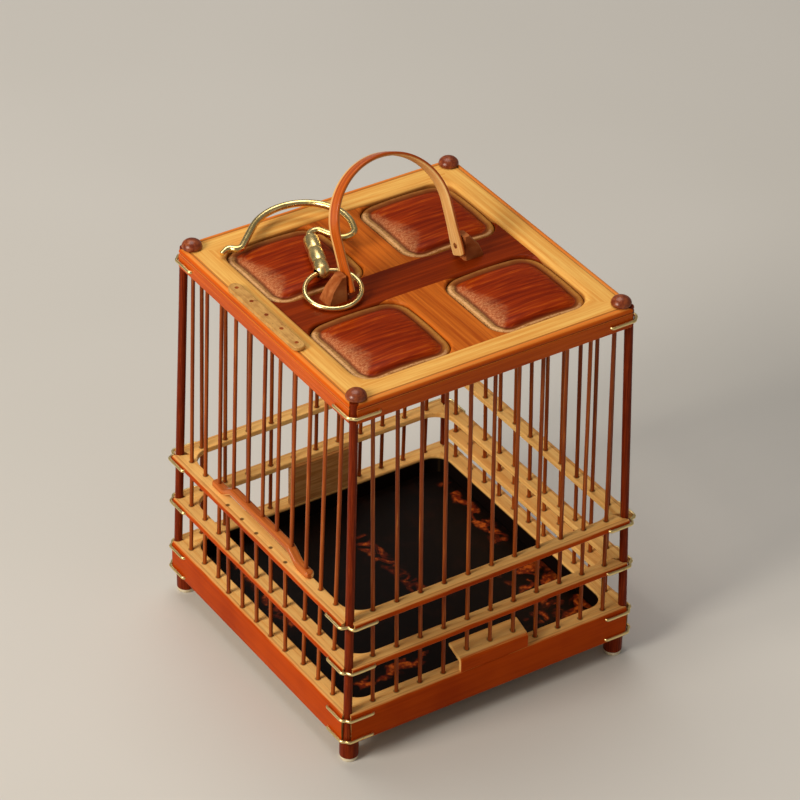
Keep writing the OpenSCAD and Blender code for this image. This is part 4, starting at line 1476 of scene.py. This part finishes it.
makeBail()
makeLugs(darkFinish("lugWood", "lug", lug["grain"]))
makePins(wireBrass)
print("bail done")


# Brass ring, swivel barrel and hook

ring = {"radius": 7.3, "wire": 0.7, "stations": 96, "butt": 0.90, "wave": 0.04}
barrel = {"radius": 2.15, "neck": 1.9, "roundEnd": 2.2, "swells": 3, "swell": 5.5, "below": 1.8, "eye": 1.2}
hook = {
    "wire": 0.96,
    "tip": 0.72,
    "stem": 0.8,
    "roll": 4.5,
    "start": 14.76,
    "run": 2.0,
    "steps": [  # straight runs as (length, 0), bends as (radius, turn to the left in degrees)
        (0.9, 0), (2.0, -138), (4.6, 0), (3.0, 138), (1.5, 0), (13.5, 150),
        (8.6, 0), (1.6, -95), (0.4, 0), (1.6, 80), (1.4, 0),
    ],
}


def makeRing(finish):
    centre = jointAt("ring_turn")
    axis = jointAxis("ring_turn")
    across = axis.orthogonal().normalized()
    other = axis.cross(across)
    count = ring["stations"]
    rings = []
    for k in range(count + 1):
        a = 2 * math.pi * k / count
        out = across * math.cos(a) + other * math.sin(a)
        size = ring["wire"] * (ring["butt"] if k in (0, count) else 1.0)  # its ends meet in a fine line
        wave = ring["wave"] * wander((math.cos(a) * 1.5, math.sin(a) * 1.5, 0), 5)
        rings.append(ringRound(centre + out * (ring["radius"] + wave), axis.cross(out), out, size, 14))
    shape = Shape()
    shape.loft(rings)
    addPiece("hook_ring.dressed", shape, finish, ["hook_ring"], "ring")


def barrelProfile():  # three swells with a fine step between them, rounded off at the eye
    radius, neck, length = barrel["radius"], barrel["neck"], barrel["swell"]
    profile = [(neck * 0.2, 0.0)]
    for swell in range(barrel["swells"]):
        for k in range(1, 12):
            height = length * (swell + k / 12)
            wide = neck + (radius - neck) * math.sin(math.pi * k / 12) ** 0.7
            rounded = math.sin(math.pi / 2 * min(1.0, 0.15 + height / barrel["roundEnd"]))
            profile.append((wide * rounded, height))
        if swell < barrel["swells"] - 1:
            profile += [(neck - 0.10, length * (swell + 1) + lift) for lift in (-0.12, 0.12)]
    top = barrel["swells"] * length
    return profile + [(neck * 0.8, top - 0.06), (neck * 0.45, top)]


def makeBarrel(finish):
    eye = jointAt("swivel_lift")
    axis = jointAxis("hook_turn")
    shape = Shape()
    shape.lathe(barrelProfile(), eye - axis * barrel["below"], axis, 40)
    piece = addPiece("swivel_barrel.dressed", shape, finish, ["swivel_barrel"], "swivel")
    drill = Shape()
    drill.lathe([(barrel["eye"], -6.0), (barrel["eye"], 6.0)], eye, jointAxis("swivel_lift"))
    cutEye(piece, drill)


def cutEye(piece, drill):  # drills the eye for the ring through the barrel
    mesh = bpy.data.meshes.new("eyeDrill")
    mesh.from_pydata([point * mm for point in drill.points], [], drill.faces)
    tool = addToScene("eyeDrill", mesh)
    cut = piece.modifiers.new("eye", "BOOLEAN")
    cut.object = tool
    cut.solver = "EXACT"
    piece.modifiers.move(len(piece.modifiers) - 1, 0)
    bpy.context.view_layer.update()
    whole = piece.evaluated_get(bpy.context.evaluated_depsgraph_get())
    drilled = bpy.data.meshes.new_from_object(whole)
    piece.modifiers.remove(cut)
    piece.data = drilled
    bpy.data.objects.remove(tool)


def hookPath():  # the hook in its own plane, from inside the barrel to its tip
    place = Vector((0.0, hook["start"]))
    heading = Vector((0.0, 1.0))
    path = [place - heading * hook["run"], place]
    for size, angle in hook["steps"]:
        if angle == 0:
            pieces = max(1, round(size / 0.7))
            path += [place + heading * (size * k / pieces) for k in range(1, pieces + 1)]
        else:
            left = Vector((-heading.y, heading.x))
            middle = place + left * math.copysign(size, angle)
            pieces = max(3, round(abs(angle) / 6))
            turns = [Matrix.Rotation(math.radians(angle) * k / pieces, 2) for k in range(1, pieces + 1)]
            path += [middle + turn @ (place - middle) for turn in turns]
            heading = turns[-1] @ heading
        place = path[-1]
    return path


def makeHook(finish):
    eye = jointAt("hook_turn")
    stem = jointAxis("hook_turn")
    flat = Vector((stem.y, -stem.x, 0)).normalized()
    roll = math.radians(hook["roll"])
    side = flat * math.cos(roll) + flat.cross(stem) * math.sin(roll)
    route = [eye + side * spot.x + stem * spot.y for spot in hookPath()]
    sizes = []
    for k in range(len(route)):
        full = ease(len(route) - 1 - k, 0, 10)
        sizes.append(hook["wire"] * (hook["tip"] + (1 - hook["tip"]) * full))
    sizes[:2] = [hook["stem"]] * 2
    shape = Shape()
    shape.tube(route, sizes, 18)
    addPiece("hook.dressed", shape, finish, ["hook"], "hook")


makeRing(brassFinish("ringBrass", 0.16, 0.20))
makeBarrel(brassFinish("barrelBrass", 0.06, 0.28))
makeHook(brassFinish("hookBrass", 0.22, 0.24))
print("ring, swivel and hook done")


# Solids that keep their shape: the floor, its battens and the hidden roof board

roofGrain = (0.08, 1.2, 1.0)


def dressNode(node, finish):
    slots = frame["nodes"][node].data.materials
    slots.clear()
    slots.append(finish)


dressNode("floor_panel", floorFinish())
dressNode("floor_battens", stripFinishes["right"])
dressNode("roof_board", darkFinish("roofBoardWood", "post", roofGrain))


def makeFloor():
    mesh = bpy.data.meshes.new("studioFloor")
    half = room["floorSize"] / 2
    corners = [(-half, -half, 0), (half, -half, 0), (half, half, 0), (-half, half, 0)]
    mesh.from_pydata(corners, [], [(0, 1, 2, 3)])
    mesh.materials.append(studioFinish())
    ground = addToScene("studioFloor", mesh)


makeFloor()
